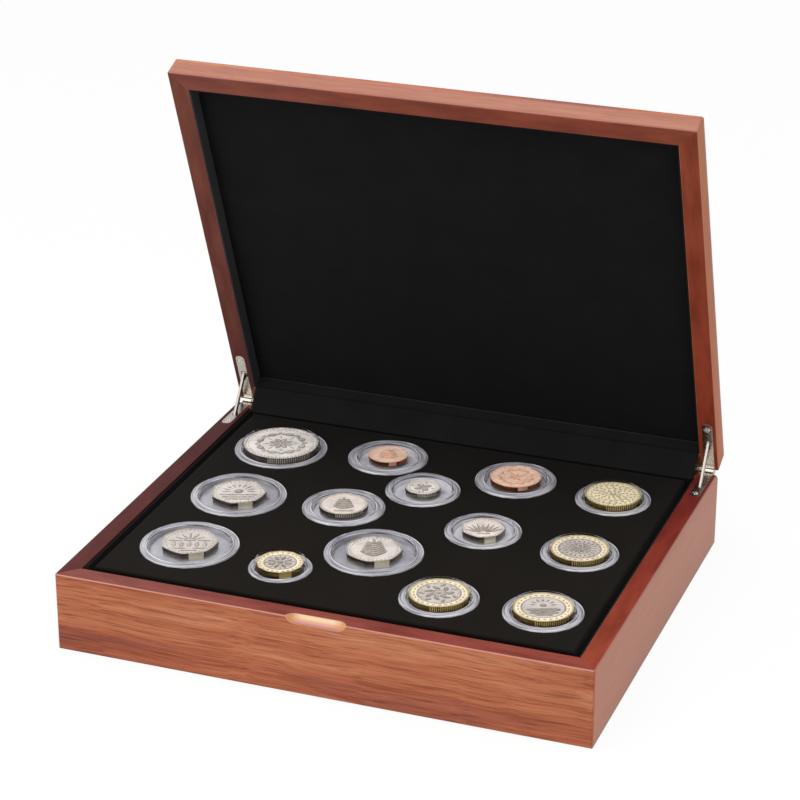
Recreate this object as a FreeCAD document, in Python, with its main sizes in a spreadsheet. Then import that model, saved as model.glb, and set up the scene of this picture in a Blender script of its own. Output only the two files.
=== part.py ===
import FreeCAD
import Part
import Sketcher
import math
import os
import re

# A wooden coin case that stands open: a mitred box with a lined inside, a lid on two stay hinges, and a
# tray with fourteen capsuled coins. X is to the right, Y to the back, Z up. The origin is the middle of
# the underside. The lid's pieces are drawn shut and then turned open about the hinge axis.

# Driving sizes, in millimetres. Angles are in degrees.
SIZES = {
    # walls, floor and lining of the base
    "base_height": 40.0,
    "wall": 9.6,
    "edge_round": 0.9,
    "corner_round": 1.2,
    "back_bevel": 4.0,
    "rebate": 4.0,
    "floor_thickness": 4.0,
    "baize_thickness": 1.0,
    "base_lining_thickness": 1.2,
    "lining_drop": 0.8,
    "notch_length": 20.5,
    "notch_radius": 4.6,
    "notch_offset": 1.2,
    # lid
    "open_angle": 69.2,
    "rim_gap": 0.2,
    "lid_rail_height": 9.0,
    "lid_panel_thickness": 2.6,
    "lid_pad_thickness": 1.1,
    "lid_lining_thickness": 0.8,
    "lid_lining_drop": 0.3,
    # cloth flap over the hinge gap
    "flap_thickness": 0.6,
    "flap_reach": 4.9,
    "flap_end_gap": 1.0,
    "flap_clearance": 0.3,
    # tray
    "tray_gap": 3.1,
    "tray_drop": 0.5,
    "tray_thickness": 7.0,
    "tray_edge_round": 1.0,
    "rest_width": 8.0,
    "rest_length": 40.0,
    # layout of the wells
    "side_margin": 8.95,
    "right_margin": 5.2,
    "column_gap": 9.45,
    "stagger_gap": 2.8,
    "inner_column_gap": 3.6,
    "outer_column_gap": 13.0,
    "inner_lean": 3.2,
    "outer_lean": 1.8,
    "twelve_shift": 4.3,
    "left_lean": 1.8,
    "centre_lean": 1.6,
    "back_margin": 7.3,
    "front_margin": 14.4,
    "left_back_margin": 12.6,
    "right_back_margin": 15.6,
    "back_step": 2.7,
    "left_row_gap": 10.6,
    "right_row_gap": 25.0,
    "inner_row_gap": 20.8,
    "front_row_gap": 34.7,
    "centre_row_gap": 30.0,
    "edge_margin": 6.0,
    # capsules
    "big_brim": 3.9,
    "mid_brim": 5.0,
    "standard_brim": 3.8,
    "small_brim": 2.7,
    "mid_ease": 2.15,
    "coin_clearance": 0.3,
    "coin_head_gap": 0.2,
    "dome_wall": 0.6,
    "cover_thickness": 0.6,
    "capsule_base_thickness": 3.0,
    "capsule_rise": 0.5,
    "well_clearance": 0.3,
    "round_side_count": 20,
    # coins
    "large_silver_diameter": 38.6,
    "large_silver_thickness": 2.9,
    "mid_silver_diameter": 24.5,
    "mid_silver_thickness": 1.85,
    "small_silver_diameter": 18.0,
    "small_silver_thickness": 1.7,
    "small_copper_diameter": 20.3,
    "small_copper_thickness": 1.65,
    "large_copper_diameter": 25.9,
    "large_copper_thickness": 1.85,
    "gold_coin_diameter": 28.4,
    "gold_coin_thickness": 2.5,
    "heptagon_width": 27.3,
    "heptagon_thickness": 1.8,
    "small_heptagon_width": 21.4,
    "small_heptagon_thickness": 1.7,
    "two_metal_diameter": 28.4,
    "two_metal_thickness": 2.5,
    "twelve_sided_diameter": 23.4,
    "coin_ring_width": 3.7,
    "twelve_sided_thickness": 2.8,
    "coin_turn_angle": -70.0,
    # stay hinges
    "axis_overhang": 0.5,
    "leaf_width": 5.2,
    "leaf_thickness": 1.2,
    "leaf_length": 32.0,
    "leaf_sink": 0.15,
    "gain_gap": 0.2,
    "knuckle_radius": 2.4,
    "knuckle_length": 2.7,
    "knuckle_gap": 0.25,
    "tab_width": 3.0,
    "pin_radius": 1.0,
    "running_clearance": 0.05,
    "guide_reach": 18.6,
    "guide_slot_width": 1.8,
    "guide_slot_length": 4.6,
    "pivot_depth": 1.8,
    "pivot_slot_front": 2.2,
    "pivot_slot_back": 3.6,
    "lug_thickness": 1.0,
    "lug_size": 3.4,
    "rivet_radius": 0.6,
    "arm_thickness": 1.2,
    "arm_width": 2.4,
    "eye_radius": 1.5,
    "stop_half": 0.75,
    "stop_length": 3.4,
    "stop_gap": 0.15,
    "mortise_margin": 0.5,
    "screw_inset": 3.6,
    "screw_head_radius": 1.7,
    "screw_shank_radius": 0.8,
    "screw_length": 6.5,
    "screw_sink": 0.1,
    "tiny_side_count": 10,
    # how far a cutting shape runs past the piece it cuts
    "overrun": 1.0,
}

# Sizes and places that follow from the driving sizes.
DERIVED = {
    "two_metal_core_diameter": "two_metal_diameter - 2 * coin_ring_width",
    "twelve_sided_core_diameter": "twelve_sided_diameter - 2 * coin_ring_width",
    # capsule families, named for their size: each takes the widest of its coins
    "heptagon_span": "heptagon_width / cos(90 / 7)",
    "small_heptagon_span": "small_heptagon_width / cos(90 / 7)",
    "big_coin": "max(large_silver_diameter; heptagon_span)",
    "mid_coin": "max(large_copper_diameter; small_copper_diameter; mid_silver_diameter)",
    "wide_coin": "max(two_metal_diameter; gold_coin_diameter)",
    "standard_coin": "max(wide_coin; small_silver_diameter; small_heptagon_span)",
    "big_cavity": "big_coin + 2 * coin_clearance",
    "mid_cavity": "mid_coin + 2 * mid_ease",
    "standard_cavity": "standard_coin + 2 * coin_clearance",
    "small_cavity": "twelve_sided_diameter + 2 * coin_clearance",
    "big_capsule": "big_cavity + 2 * (dome_wall + big_brim)",
    "mid_capsule": "mid_cavity + 2 * (dome_wall + mid_brim)",
    "standard_capsule": "standard_cavity + 2 * (dome_wall + standard_brim)",
    "small_capsule": "small_cavity + 2 * (dome_wall + small_brim)",
    # the tray is sized round the wells, and the case round the tray
    "stagger": "((mid_capsule + standard_capsule) / 2 + stagger_gap) / sqrt(2)",
    "tray_width": "left_span + right_span",
    "left_span": "side_margin + big_capsule / 2 + (big_capsule + mid_capsule) / 2 + column_gap + stagger",
    "right_span": "(mid_capsule + standard_capsule) / 2 + inner_column_gap + outer_pitch + outer_edge",
    "outer_pitch": "standard_capsule + outer_column_gap",
    "outer_edge": "outer_lean + standard_capsule / 2 + right_margin",
    "inner_pitch": "mid_capsule + inner_row_gap",
    "front_pitch": "(mid_capsule + small_capsule) / 2 + front_row_gap",
    "inner_front_need": "front_pitch + small_capsule / 2 + front_margin",
    "inner_depth_need": "back_margin + mid_capsule / 2 + inner_pitch + inner_front_need",
    "left_depth_need": "left_back_margin + 3 * big_capsule + 2 * left_row_gap + edge_margin",
    "outer_depth_need": "right_back_margin + 3 * standard_capsule + 2 * right_row_gap + edge_margin",
    "right_depth_need": "back_margin + back_step + mid_capsule + inner_row_gap + right_front_need",
    "right_front_need": "2 * standard_capsule + front_row_gap + edge_margin",
    "centre_depth_need": "back_margin + mid_capsule / 2 + stagger + standard_capsule / 2 + centre_front_need",
    "centre_front_need": "centre_row_gap + big_capsule + edge_margin",
    "side_depth_need": "max(left_depth_need; outer_depth_need; right_depth_need; centre_depth_need)",
    "tray_depth": "max(inner_depth_need; side_depth_need)",
    "tray_border": "tray_gap + base_lining_thickness + wall",
    "case_width": "tray_width + 2 * tray_border",
    "case_depth": "tray_depth + 2 * tray_border",
    "inner_width": "case_width - 2 * wall",
    "inner_depth": "case_depth - 2 * wall",
    # columns and rows of wells, from the middle of the tray
    "left_column": "side_margin + big_capsule / 2 - tray_width / 2",
    "left_back_column": "left_column - left_lean",
    "inner_column": "left_column + (big_capsule + mid_capsule) / 2 + column_gap",
    "twelve_column": "inner_column - twelve_shift",
    "centre_column": "inner_column + stagger",
    "centre_front_column": "centre_column + centre_lean",
    "right_column": "centre_column + (mid_capsule + standard_capsule) / 2 + inner_column_gap",
    "right_back_column": "right_column - inner_lean",
    "right_front_column": "right_column + inner_lean",
    "outer_column": "right_column + outer_pitch",
    "outer_back_column": "outer_column - outer_lean",
    "outer_front_column": "outer_column + outer_lean",
    "left_back_row": "tray_depth / 2 - left_back_margin - big_capsule / 2",
    "left_mid_row": "left_back_row - big_capsule - left_row_gap",
    "left_front_row": "left_mid_row - big_capsule - left_row_gap",
    "inner_back_row": "tray_depth / 2 - back_margin - mid_capsule / 2",
    "inner_mid_row": "inner_back_row - inner_pitch",
    "inner_front_row": "inner_mid_row - front_pitch",
    "centre_back_row": "inner_back_row - stagger",
    "centre_front_row": "centre_back_row - (standard_capsule + big_capsule) / 2 - centre_row_gap",
    "right_back_row": "inner_back_row - back_step",
    "right_mid_row": "right_back_row - (mid_capsule + standard_capsule) / 2 - inner_row_gap",
    "right_front_row": "right_mid_row - standard_capsule - front_row_gap",
    "outer_back_row": "tray_depth / 2 - right_back_margin - standard_capsule / 2",
    "outer_mid_row": "outer_back_row - standard_capsule - right_row_gap",
    "outer_front_row": "outer_mid_row - standard_capsule - right_row_gap",
    # heights
    "floor_top": "baize_thickness + floor_thickness",
    "lining_top": "base_height - lining_drop",
    "tray_top": "base_height - tray_drop",
    "tray_bottom": "tray_top - tray_thickness",
    "coin_seat": "tray_top + capsule_rise",
    "capsule_bottom": "coin_seat - capsule_base_thickness",
    "lid_rim": "base_height + rim_gap",
    "panel_bottom": "lid_rim + lid_rail_height",
    "pad_bottom": "panel_bottom - lid_pad_thickness",
    "lid_top": "panel_bottom + lid_panel_thickness",
    "flap_bed": "lining_drop",
    "flap_back": "inner_depth / 2 + flap_reach",
    "flap_half": "inner_width / 2 - flap_end_gap",
    # hinge
    "axis_y": "case_depth / 2 + axis_overhang",
    "leaf_x": "case_width / 2 - wall / 2",
    "leaf_outer": "leaf_x + leaf_width / 2",
    "leaf_inner": "leaf_x - leaf_width / 2",
    "leaf_far": "axis_y - leaf_length",
    "screw_reach": "leaf_length - screw_inset",
    "leaf_near": "axis_y - knuckle_radius - knuckle_gap",
    "knuckle_join": "axis_y - (knuckle_radius + pin_radius + running_clearance) / 2",
    "base_knuckle_end": "leaf_inner - knuckle_gap",
    "base_knuckle_start": "base_knuckle_end - knuckle_length",
    "base_leaf_top": "base_height - leaf_sink",
    "base_leaf_bottom": "base_leaf_top - leaf_thickness",
    "lid_leaf_bottom": "lid_rim + leaf_sink",
    "lid_leaf_top": "lid_leaf_bottom + leaf_thickness",
    # the arm's guide on the base and its pivot on the lid are equally far from the axis
    "guide_depth": "leaf_sink + leaf_thickness / 2",
    "guide_y": "axis_y - guide_reach",
    "pivot_reach": "sqrt(guide_reach ^ 2 + guide_depth ^ 2 - pivot_depth ^ 2)",
    "pivot_y": "axis_y - pivot_reach",
    "pivot_z": "base_height + pivot_depth",
    "pivot_radius": "sqrt(guide_reach ^ 2 + guide_depth ^ 2)",
    "guide_angle": "atan(guide_depth / guide_reach) / 1 deg",
    "pivot_angle": "atan(pivot_depth / pivot_reach) / 1 deg",
    "arm_lean": "(open_angle + pivot_angle - guide_angle) / 2",
    "arm_span": "2 * pivot_radius * sin((open_angle + pivot_angle + guide_angle) / 2)",
    "stop_corner": "stop_half * (cos(arm_lean) + sin(arm_lean))",
    "arm_length": "arm_span + (leaf_thickness / 2 + stop_corner + stop_gap) / cos(arm_lean)",
    "mortise_depth": "arm_length - pivot_depth + 2 * stop_half + mortise_margin",
    "mortise_reach": "arm_length * mortise_reach_share + 2 * stop_half + mortise_margin",
    "mortise_half": "stop_length / 2 + gain_gap",
}

# The hanging end of a stay arm swings forward by this share of its length at most.
SHARES = {"mortise_reach_share": 0.16, "leaf_round_share": 0.48}

doc = FreeCAD.newDocument("coin_case")
sheet = doc.addObject("Spreadsheet::Sheet", "Sizes")
ALIASES = set(SIZES) | set(DERIVED) | set(SHARES)
PIECES = []


def fill_sheet():
    """Writes the driving sizes as plain numbers and the rest as formulas."""
    rows = [(name, str(value)) for name, value in {**SIZES, **SHARES}.items()]
    rows += [(name, "=" + formula) for name, formula in DERIVED.items()]
    for row, (name, _) in enumerate(rows, start=1):
        sheet.set(f"A{row}", name)
        sheet.setAlias(f"B{row}", name)
    for row, (_, text) in enumerate(rows, start=1):
        sheet.set(f"B{row}", text)
    doc.recompute()


def bound(text):
    """Turns a formula in size names into an expression that reads the sheet."""
    return re.sub(r"[a-z][a-z_]*", lambda word: sheet_word(word.group()), text)


def sheet_word(word):
    return "Sizes." + word if word in ALIASES else word


def number(text):
    return float(sheet.evalExpression(text))


def piece(item, label=None):
    """Marks an object as a finished piece: its label names its file."""
    item.Label = label or item.Name
    PIECES.append(item)
    return item


# Solids from Part primitives


def box(name, x, y, z):
    item = doc.addObject("Part::Box", name)
    for length, axis, (low, high) in zip(("Length", "Width", "Height"), "xyz", (x, y, z)):
        item.setExpression(length, bound(f"({high}) - ({low})"))
        item.setExpression(f"Placement.Base.{axis}", bound(low))
    return item


def rod(name, radius, x, y, z, sides=None):
    """A cylinder along X, or a many-sided rod where it is tiny."""
    item = doc.addObject("Part::Prism" if sides else "Part::Cylinder", name)
    item.Placement = FreeCAD.Placement(FreeCAD.Vector(), FreeCAD.Rotation(FreeCAD.Vector(0, 1, 0), 90))
    item.setExpression("Circumradius" if sides else "Radius", bound(radius))
    if sides:
        item.setExpression("Polygon", bound(sides))
    item.setExpression("Height", bound(f"({x[1]}) - ({x[0]})"))
    for axis, place in zip("xyz", (x[0], y, z)):
        item.setExpression(f"Placement.Base.{axis}", bound(place))
    return item


def prism(name, sides, radius, x, y, z, turn=None):
    """A regular prism along Z."""
    item = doc.addObject("Part::Prism", name)
    item.setExpression("Polygon", bound(sides))
    item.setExpression("Circumradius", bound(radius))
    item.setExpression("Height", bound(f"({z[1]}) - ({z[0]})"))
    for axis, place in zip("xyz", (x, y, z[0])):
        item.setExpression(f"Placement.Base.{axis}", bound(place))
    if turn:
        item.setExpression("Placement.Rotation.Angle", bound(turn))
    return item


def cut(name, base, tool):
    item = doc.addObject("Part::Cut", name)
    item.Base = base
    item.Tool = tool
    return item


def fused(name, members):
    item = doc.addObject("Part::MultiFuse", name)
    item.Shapes = members
    return item


def group(name, members):
    item = doc.addObject("Part::Compound", name)
    item.Links = members
    return item


def mirrored(name, source):
    """The same thing on the other side of the case."""
    item = doc.addObject("Part::Mirroring", name)
    item.Source = source
    item.Normal = FreeCAD.Vector(1, 0, 0)
    return item


# Bodies with sketches


def new_body(name):
    return doc.addObject("PartDesign::Body", name)


def sketch_on(body, name, role, lift="0", rise=None):
    """A sketch on one of the body's origin planes, lifted along the plane's normal."""
    sketch = body.newObject("Sketcher::SketchObject", name)
    plane = next(item for item in body.Origin.OriginFeatures if item.Role == role)
    sketch.AttachmentSupport = (plane, [""])
    sketch.MapMode = "FlatFace"
    sketch.setExpression("AttachmentOffset.Base.z", bound(lift))
    if rise:
        sketch.setExpression("AttachmentOffset.Base.y", bound(rise))
    return sketch


def pin_point(sketch, geometry, point, x=None, y=None):
    """Ties a point's place in the sketch to the sheet."""
    for kind, formula in (("DistanceX", x), ("DistanceY", y)):
        if formula is not None:
            rule = Sketcher.Constraint(kind, -1, 1, geometry, point, number(formula))
            index = sketch.addConstraint(rule)
            sketch.setExpression(f"Constraints[{index}]", bound(formula))


def add_loop(sketch, corners):
    """A closed outline of straight lines through corners given as formulas."""
    points = [FreeCAD.Vector(number(x), number(y), 0) for x, y in corners]
    first = sketch.GeometryCount
    for start, end in zip(points, points[1:] + points[:1]):
        sketch.addGeometry(Part.LineSegment(start, end), False)
    last = first + len(points) - 1
    for index in range(first, last + 1):
        following = first if index == last else index + 1
        sketch.addConstraint(Sketcher.Constraint("Coincident", index, 2, following, 1))
    for index, (x, y) in enumerate(corners, start=first):
        pin_point(sketch, index, 1, x, y)


def add_circle(sketch, x, y, radius):
    centre = FreeCAD.Vector(number(x), number(y), 0)
    index = sketch.addGeometry(Part.Circle(centre, FreeCAD.Vector(0, 0, 1), number(radius)), False)
    pin_point(sketch, index, 3, x, y)
    rule = sketch.addConstraint(Sketcher.Constraint("Radius", index, number(radius)))
    sketch.setExpression(f"Constraints[{rule}]", bound(radius))


def rectangle(x, y):
    return [(x[0], y[0]), (x[1], y[0]), (x[1], y[1]), (x[0], y[1])]


def pad(body, sketch, length, both_ways=False):
    feature = body.newObject("PartDesign::Pad", sketch.Name + "_pad")
    feature.Profile = sketch
    feature.setExpression("Length", bound(length))
    if both_ways:
        feature.SideType = "Symmetric"
    doc.recompute()
    return feature


def pocket(body, sketch, length, upward=False):
    """Cuts the sketch into the body, and makes sure that something was cut."""
    before = body.Shape.Volume
    feature = body.newObject("PartDesign::Pocket", sketch.Name + "_pocket")
    feature.Profile = sketch
    feature.setExpression("Length", bound(length))
    feature.Reversed = upward
    doc.recompute()
    if not body.Shape.Volume < before:
        raise ValueError(f"{sketch.Name} cuts nothing")
    return feature


def edges_where(shape, test):
    """Names of the straight or round edges whose middle and ends pass the test."""
    return [f"Edge{index}" for index, edge in enumerate(shape.Edges, start=1) if test(edge)]


def near(value, formula):
    return math.isclose(value, number(formula), abs_tol=number("rim_gap") / 10)


def dress(body, kind, size, test):
    """A fillet or chamfer on the edges of the body's last feature that pass the test."""
    base = body.Tip
    feature = body.newObject("PartDesign::" + kind, f"{body.Name}_{kind.lower()}_{len(body.Group)}")
    feature.Base = (base, edges_where(base.Shape, test))
    feature.setExpression("Radius" if kind == "Fillet" else "Size", bound(size))
    doc.recompute()
    return feature


def slab(name, x, y, z):
    """A body that is a plain rectangular board."""
    body = new_body(name)
    sketch = sketch_on(body, name + "_outline", "XY_Plane", z[0])
    add_loop(sketch, rectangle(x, y))
    pad(body, sketch, f"({z[1]}) - ({z[0]})")
    return body


HALF_X = ("-inner_width / 2", "inner_width / 2")
HALF_Y = ("-inner_depth / 2", "inner_depth / 2")
OUTER_X = ("-case_width / 2", "case_width / 2")
OUTER_Y = ("-case_depth / 2", "case_depth / 2")


def mitred(name, side, low, height):
    """A board along one side of the case, with both ends mitred."""
    (left, right), (front, back) = OUTER_X, OUTER_Y
    (in_left, in_right), (in_front, in_back) = HALF_X, HALF_Y
    outlines = {
        "front": [(left, front), (right, front), (in_right, in_front), (in_left, in_front)],
        "back": [(right, back), (left, back), (in_left, in_back), (in_right, in_back)],
        "right": [(right, front), (right, back), (in_right, in_back), (in_right, in_front)],
    }
    body = new_body(name)
    sketch = sketch_on(body, name + "_mitre", "XY_Plane", low)
    add_loop(sketch, outlines[side])
    pad(body, sketch, height)
    return body


def along(edge, axis, **places):
    """Whether an edge runs along an axis at the given places on the other axes."""
    box_of_edge = edge.BoundBox
    lengths = {"x": box_of_edge.XLength, "y": box_of_edge.YLength, "z": box_of_edge.ZLength}
    centre = {"x": box_of_edge.Center.x, "y": box_of_edge.Center.y, "z": box_of_edge.Center.z}
    runs = all(near(length, "0") for name, length in lengths.items() if name != axis)
    return runs and all(near(centre[name], place) for name, place in places.items())


fill_sheet()
LID_POSE = FreeCAD.Placement(
    FreeCAD.Vector(),
    FreeCAD.Rotation(FreeCAD.Vector(-1, 0, 0), number("open_angle")),
    FreeCAD.Vector(0, number("axis_y"), number("base_height")),
)


def on_lid(item, local=None):
    """Turns a piece that was drawn shut to the open pose."""
    item.Placement = LID_POSE.multiply(local) if local else LID_POSE
    return item


# Base: walls with a rebate for the floor


def base_wall(name, side, outer, inner, axis):
    body = mitred(name, side, "0", "base_height")
    rebate = sketch_on(body, name + "_rebate", "XY_Plane")
    floor_x = tuple(f"{sign}(inner_width / 2 + rebate)" for sign in ("-", ""))
    floor_y = tuple(f"{sign}(inner_depth / 2 + rebate)" for sign in ("-", ""))
    add_loop(rebate, rectangle(floor_x, floor_y))
    pocket(body, rebate, "floor_top", upward=True)
    across = "y" if axis == "x" else "x"
    dress(body, "Fillet", "edge_round", lambda edge: along(edge, axis, **{across: outer, "z": "0"}))
    if side != "back":
        top = {"z": "base_height"}
        dress(body, "Fillet", "edge_round", lambda edge: along(edge, axis, **{across: outer}, **top))
        dress(body, "Fillet", "edge_round / 2", lambda edge: along(edge, axis, **{across: inner}, **top))
    return body


front_blank = base_wall("front_wall_blank", "front", OUTER_Y[0], HALF_Y[0], "x")
back_blank = base_wall("back_wall_blank", "back", OUTER_Y[1], HALF_Y[1], "x")
right_blank = base_wall("right_wall_blank", "right", OUTER_X[1], HALF_X[1], "y")


def finger_notch(body):
    """Scoops a round-ended hollow out of the front wall's top edge."""
    before = body.Shape.Volume
    sketch = sketch_on(
        body, "notch", "XZ_Plane", "case_depth / 2 + notch_offset", rise="base_height + notch_offset"
    )
    half, radius = number("notch_length / 2"), number("notch_radius")
    up = FreeCAD.Vector(0, 0, 1)
    middles = [FreeCAD.Vector(half, 0, 0), FreeCAD.Vector(-half, 0, 0)]
    tips = [FreeCAD.Vector(half + radius, 0, 0), FreeCAD.Vector(-half - radius, 0, 0)]
    crowns = [FreeCAD.Vector(half, radius, 0), FreeCAD.Vector(-half, radius, 0)]
    right_end = Part.ArcOfCircle(Part.Circle(middles[0], up, radius), 0, math.pi / 2)
    left_end = Part.ArcOfCircle(Part.Circle(middles[1], up, radius), math.pi / 2, math.pi)
    sketch.addGeometry([Part.LineSegment(tips[1], tips[0]), right_end], False)
    sketch.addGeometry([Part.LineSegment(crowns[0], crowns[1]), left_end], False)
    for first, first_end, second, second_end in ((0, 2, 1, 1), (1, 2, 2, 1), (2, 2, 3, 1), (3, 2, 0, 1)):
        sketch.addConstraint(Sketcher.Constraint("Coincident", first, first_end, second, second_end))
    for arc, sign, flat_end, crown_end in ((1, "", 1, 2), (3, "-", 2, 1)):
        pin_point(sketch, arc, 3, f"{sign}notch_length / 2", "0")
        pin_point(sketch, arc, flat_end, y="0")
        pin_point(sketch, arc, crown_end, x=f"{sign}notch_length / 2")
        rule = sketch.addConstraint(Sketcher.Constraint("Radius", arc, radius))
        sketch.setExpression(f"Constraints[{rule}]", bound("notch_radius"))
    groove = body.newObject("PartDesign::Groove", "notch_groove")
    groove.Profile = sketch
    groove.ReferenceAxis = (sketch, ["H_Axis"])
    groove.Angle = 360
    doc.recompute()
    if not body.Shape.Volume < before:
        raise ValueError("the notch cuts nothing")


finger_notch(front_blank)


def corner_waste():
    """What is left outside the case's four rounded upright corners, over the height of base and lid."""
    outline = slab("case_outline", OUTER_X, OUTER_Y, ("-overrun", "lid_top + overrun"))
    dress(outline, "Fillet", "corner_round", lambda edge: along(edge, "z"))
    around_x = ("-case_width / 2 - overrun", "case_width / 2 + overrun")
    around_y = ("-case_depth / 2 - overrun", "case_depth / 2 + overrun")
    around_z = ("-overrun", "lid_top + overrun")
    return cut("corner_waste", box("case_surround", around_x, around_y, around_z), outline)


corners = corner_waste()
piece(cut("base_front_wall", front_blank, corners))


def hinge_gains(name, leaf_low, leaf_high, screw_low, screw_high, extra):
    """What is cut from the wood for one hinge leaf, on both sides of the case."""
    gap = "gain_gap"
    past_back = "case_depth / 2 + overrun"
    end_middle = "leaf_far + leaf_width / 2"
    tools = [
        box(
            name + "_leaf_bed",
            (f"leaf_inner - {gap}", f"leaf_outer + {gap}"),
            (end_middle, past_back),
            (leaf_low, leaf_high),
        ),
        # the bed's far end is round like the leaf's, with few facets
        prism(
            name + "_leaf_bed_end",
            "tiny_side_count",
            f"(leaf_width / 2 + {gap}) / cos(180 deg / tiny_side_count)",
            "leaf_x",
            end_middle,
            (leaf_low, leaf_high),
        ),
        box(
            name + "_knuckle_bed",
            (f"base_knuckle_start - {gap}", f"leaf_outer + {gap}"),
            (f"axis_y - knuckle_radius - {gap}", past_back),
            (f"base_height - knuckle_radius - {gap}", f"base_height + knuckle_radius + {gap}"),
        ),
        prism(
            name + "_pilot",
            "tiny_side_count",
            "screw_shank_radius + gain_gap",
            "leaf_x",
            "axis_y - screw_reach",
            (screw_low, screw_high),
        ),
    ]
    right = fused(name + "_right", tools + extra)
    return [right, mirrored(name + "_left", right)]


tab_bed = box(
    "base_gain_tab_bed",
    ("base_knuckle_start - gain_gap", "leaf_x"),
    ("leaf_near - tab_width - gain_gap", "case_depth / 2 + overrun"),
    ("base_leaf_bottom - gain_gap", "base_height + overrun"),
)
mortise = box(
    "base_gain_mortise",
    ("leaf_x - mortise_half", "leaf_x + mortise_half"),
    ("guide_y - mortise_reach", "guide_y + guide_slot_length / 2"),
    ("base_height - mortise_depth", "base_height + overrun"),
)
base_gains = hinge_gains(
    "base_gain",
    "base_leaf_bottom - gain_gap",
    "base_height + overrun",
    "base_leaf_top - screw_length - gain_gap",
    "base_height",
    [tab_bed, mortise],
)

# The back edge is bevelled all the way across, to clear the lid's edge.
bevel = doc.addObject("Part::Box", "back_bevel_cut")
bevel.Placement = FreeCAD.Placement(FreeCAD.Vector(), FreeCAD.Rotation(FreeCAD.Vector(1, 0, 0), -45))
bevel.setExpression("Length", bound("case_width + 2 * overrun"))
bevel.setExpression("Width", bound("(back_bevel + 2 * overrun) * sqrt(2)"))
bevel.setExpression("Height", bound("back_bevel"))
bevel.setExpression("Placement.Base.x", bound("-case_width / 2 - overrun"))
bevel.setExpression("Placement.Base.y", bound("case_depth / 2 - back_bevel - overrun"))
bevel.setExpression("Placement.Base.z", bound("base_height + overrun"))

FLAP_X = ("-flap_half", "flap_half")
BED_X = ("-flap_half - flap_clearance", "flap_half + flap_clearance")
BED_Y = ("inner_depth / 2 - overrun", "flap_back + flap_clearance")
flap_bed = box("base_flap_bed", BED_X, BED_Y, ("lining_top", "base_height + overrun"))

base_cuts = fused("base_cuts", base_gains + [bevel, corners])
right_wall = piece(cut("base_right_wall", right_blank, base_cuts))
piece(mirrored("base_left_wall", right_wall))
piece(cut("base_back_wall", cut("back_wall_bedded", back_blank, base_cuts), flap_bed))

FLOOR_X = ("-inner_width / 2 - rebate", "inner_width / 2 + rebate")
FLOOR_Y = ("-inner_depth / 2 - rebate", "inner_depth / 2 + rebate")
piece(box("base_floor", FLOOR_X, FLOOR_Y, ("baize_thickness", "floor_top")))
piece(box("base_baize", FLOOR_X, FLOOR_Y, ("0", "baize_thickness")))


def lining_ring(name, thickness, low, high):
    """A lining round the inside of the four walls."""
    inside_x = (f"-inner_width / 2 + {thickness}", f"inner_width / 2 - {thickness}")
    inside_y = (f"-inner_depth / 2 + {thickness}", f"inner_depth / 2 - {thickness}")
    outside = box(name + "_outside", HALF_X, HALF_Y, (low, high))
    inside = box(name + "_inside", inside_x, inside_y, (f"{low} - overrun", f"{high} + overrun"))
    return cut(name, outside, inside)


piece(lining_ring("base_lining", "base_lining_thickness", "floor_top", "lining_top"))
piece(box(
    "base_flap",
    FLAP_X,
    ("inner_depth / 2 - base_lining_thickness", "flap_back"),
    ("lining_top", "lining_top + flap_thickness"),
))


def tray_rests():
    """Four equal blocks in the corners of the lining."""
    edge_x = "inner_width / 2 - base_lining_thickness"
    edge_y = "inner_depth / 2 - base_lining_thickness"
    height = ("floor_top", "tray_bottom")
    spans_x = (f"{edge_x} - rest_width", edge_x)
    back = box("rest_back", spans_x, (f"{edge_y} - rest_length", edge_y), height)
    front = box("rest_front", spans_x, (f"-({edge_y})", f"-({edge_y}) + rest_length"), height)
    others = [mirrored(block.Name + "_left", block) for block in (back, front)]
    return group("tray_rests", [back, front] + others)


piece(tray_rests())

# Lid: four mitred rails, the top panel, the pad and the lining


def lid_rail(name, side, outer, inner, axis):
    body = mitred(name, side, "lid_rim", "lid_rail_height")
    across = "y" if axis == "x" else "x"
    for place, size in ((outer, "edge_round"), (inner, "edge_round / 2")):
        if side == "back":
            size = "edge_round / 3"
        dress(body, "Fillet", size, lambda edge: along(edge, axis, **{across: place, "z": "lid_rim"}))
    return body


front_rail_blank = lid_rail("front_rail_blank", "front", OUTER_Y[0], HALF_Y[0], "x")
piece(on_lid(cut("lid_front_rail", front_rail_blank, corners)))
back_rail_blank = lid_rail("back_rail_blank", "back", OUTER_Y[1], HALF_Y[1], "x")
right_rail_blank = lid_rail("right_rail_blank", "right", OUTER_X[1], HALF_X[1], "y")

lug_bed = box(
    "lid_gain_lug_bed",
    (
        "leaf_x - guide_slot_width / 2 - lug_thickness - gain_gap",
        "leaf_x + guide_slot_width / 2 + lug_thickness + gain_gap",
    ),
    ("pivot_y - lug_size / 2 - mortise_margin", "pivot_y + pivot_slot_back"),
    ("lid_rim - overrun", "pivot_z + lug_size / 2 + mortise_margin"),
)
lid_gains = hinge_gains(
    "lid_gain",
    "lid_rim - overrun",
    "lid_leaf_top + gain_gap",
    "lid_rim",
    "lid_leaf_bottom + screw_length + gain_gap",
    [lug_bed],
)
lid_cuts = fused("lid_cuts", lid_gains + [corners])
lid_flap_bed = box("lid_flap_bed", BED_X, BED_Y, ("lid_rim - overrun", "lid_rim + flap_bed"))
right_rail = piece(on_lid(cut("lid_right_rail", right_rail_blank, lid_cuts)))
piece(mirrored("lid_left_rail", right_rail))
piece(on_lid(cut("lid_back_rail", cut("back_rail_bedded", back_rail_blank, lid_cuts), lid_flap_bed)))

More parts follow.
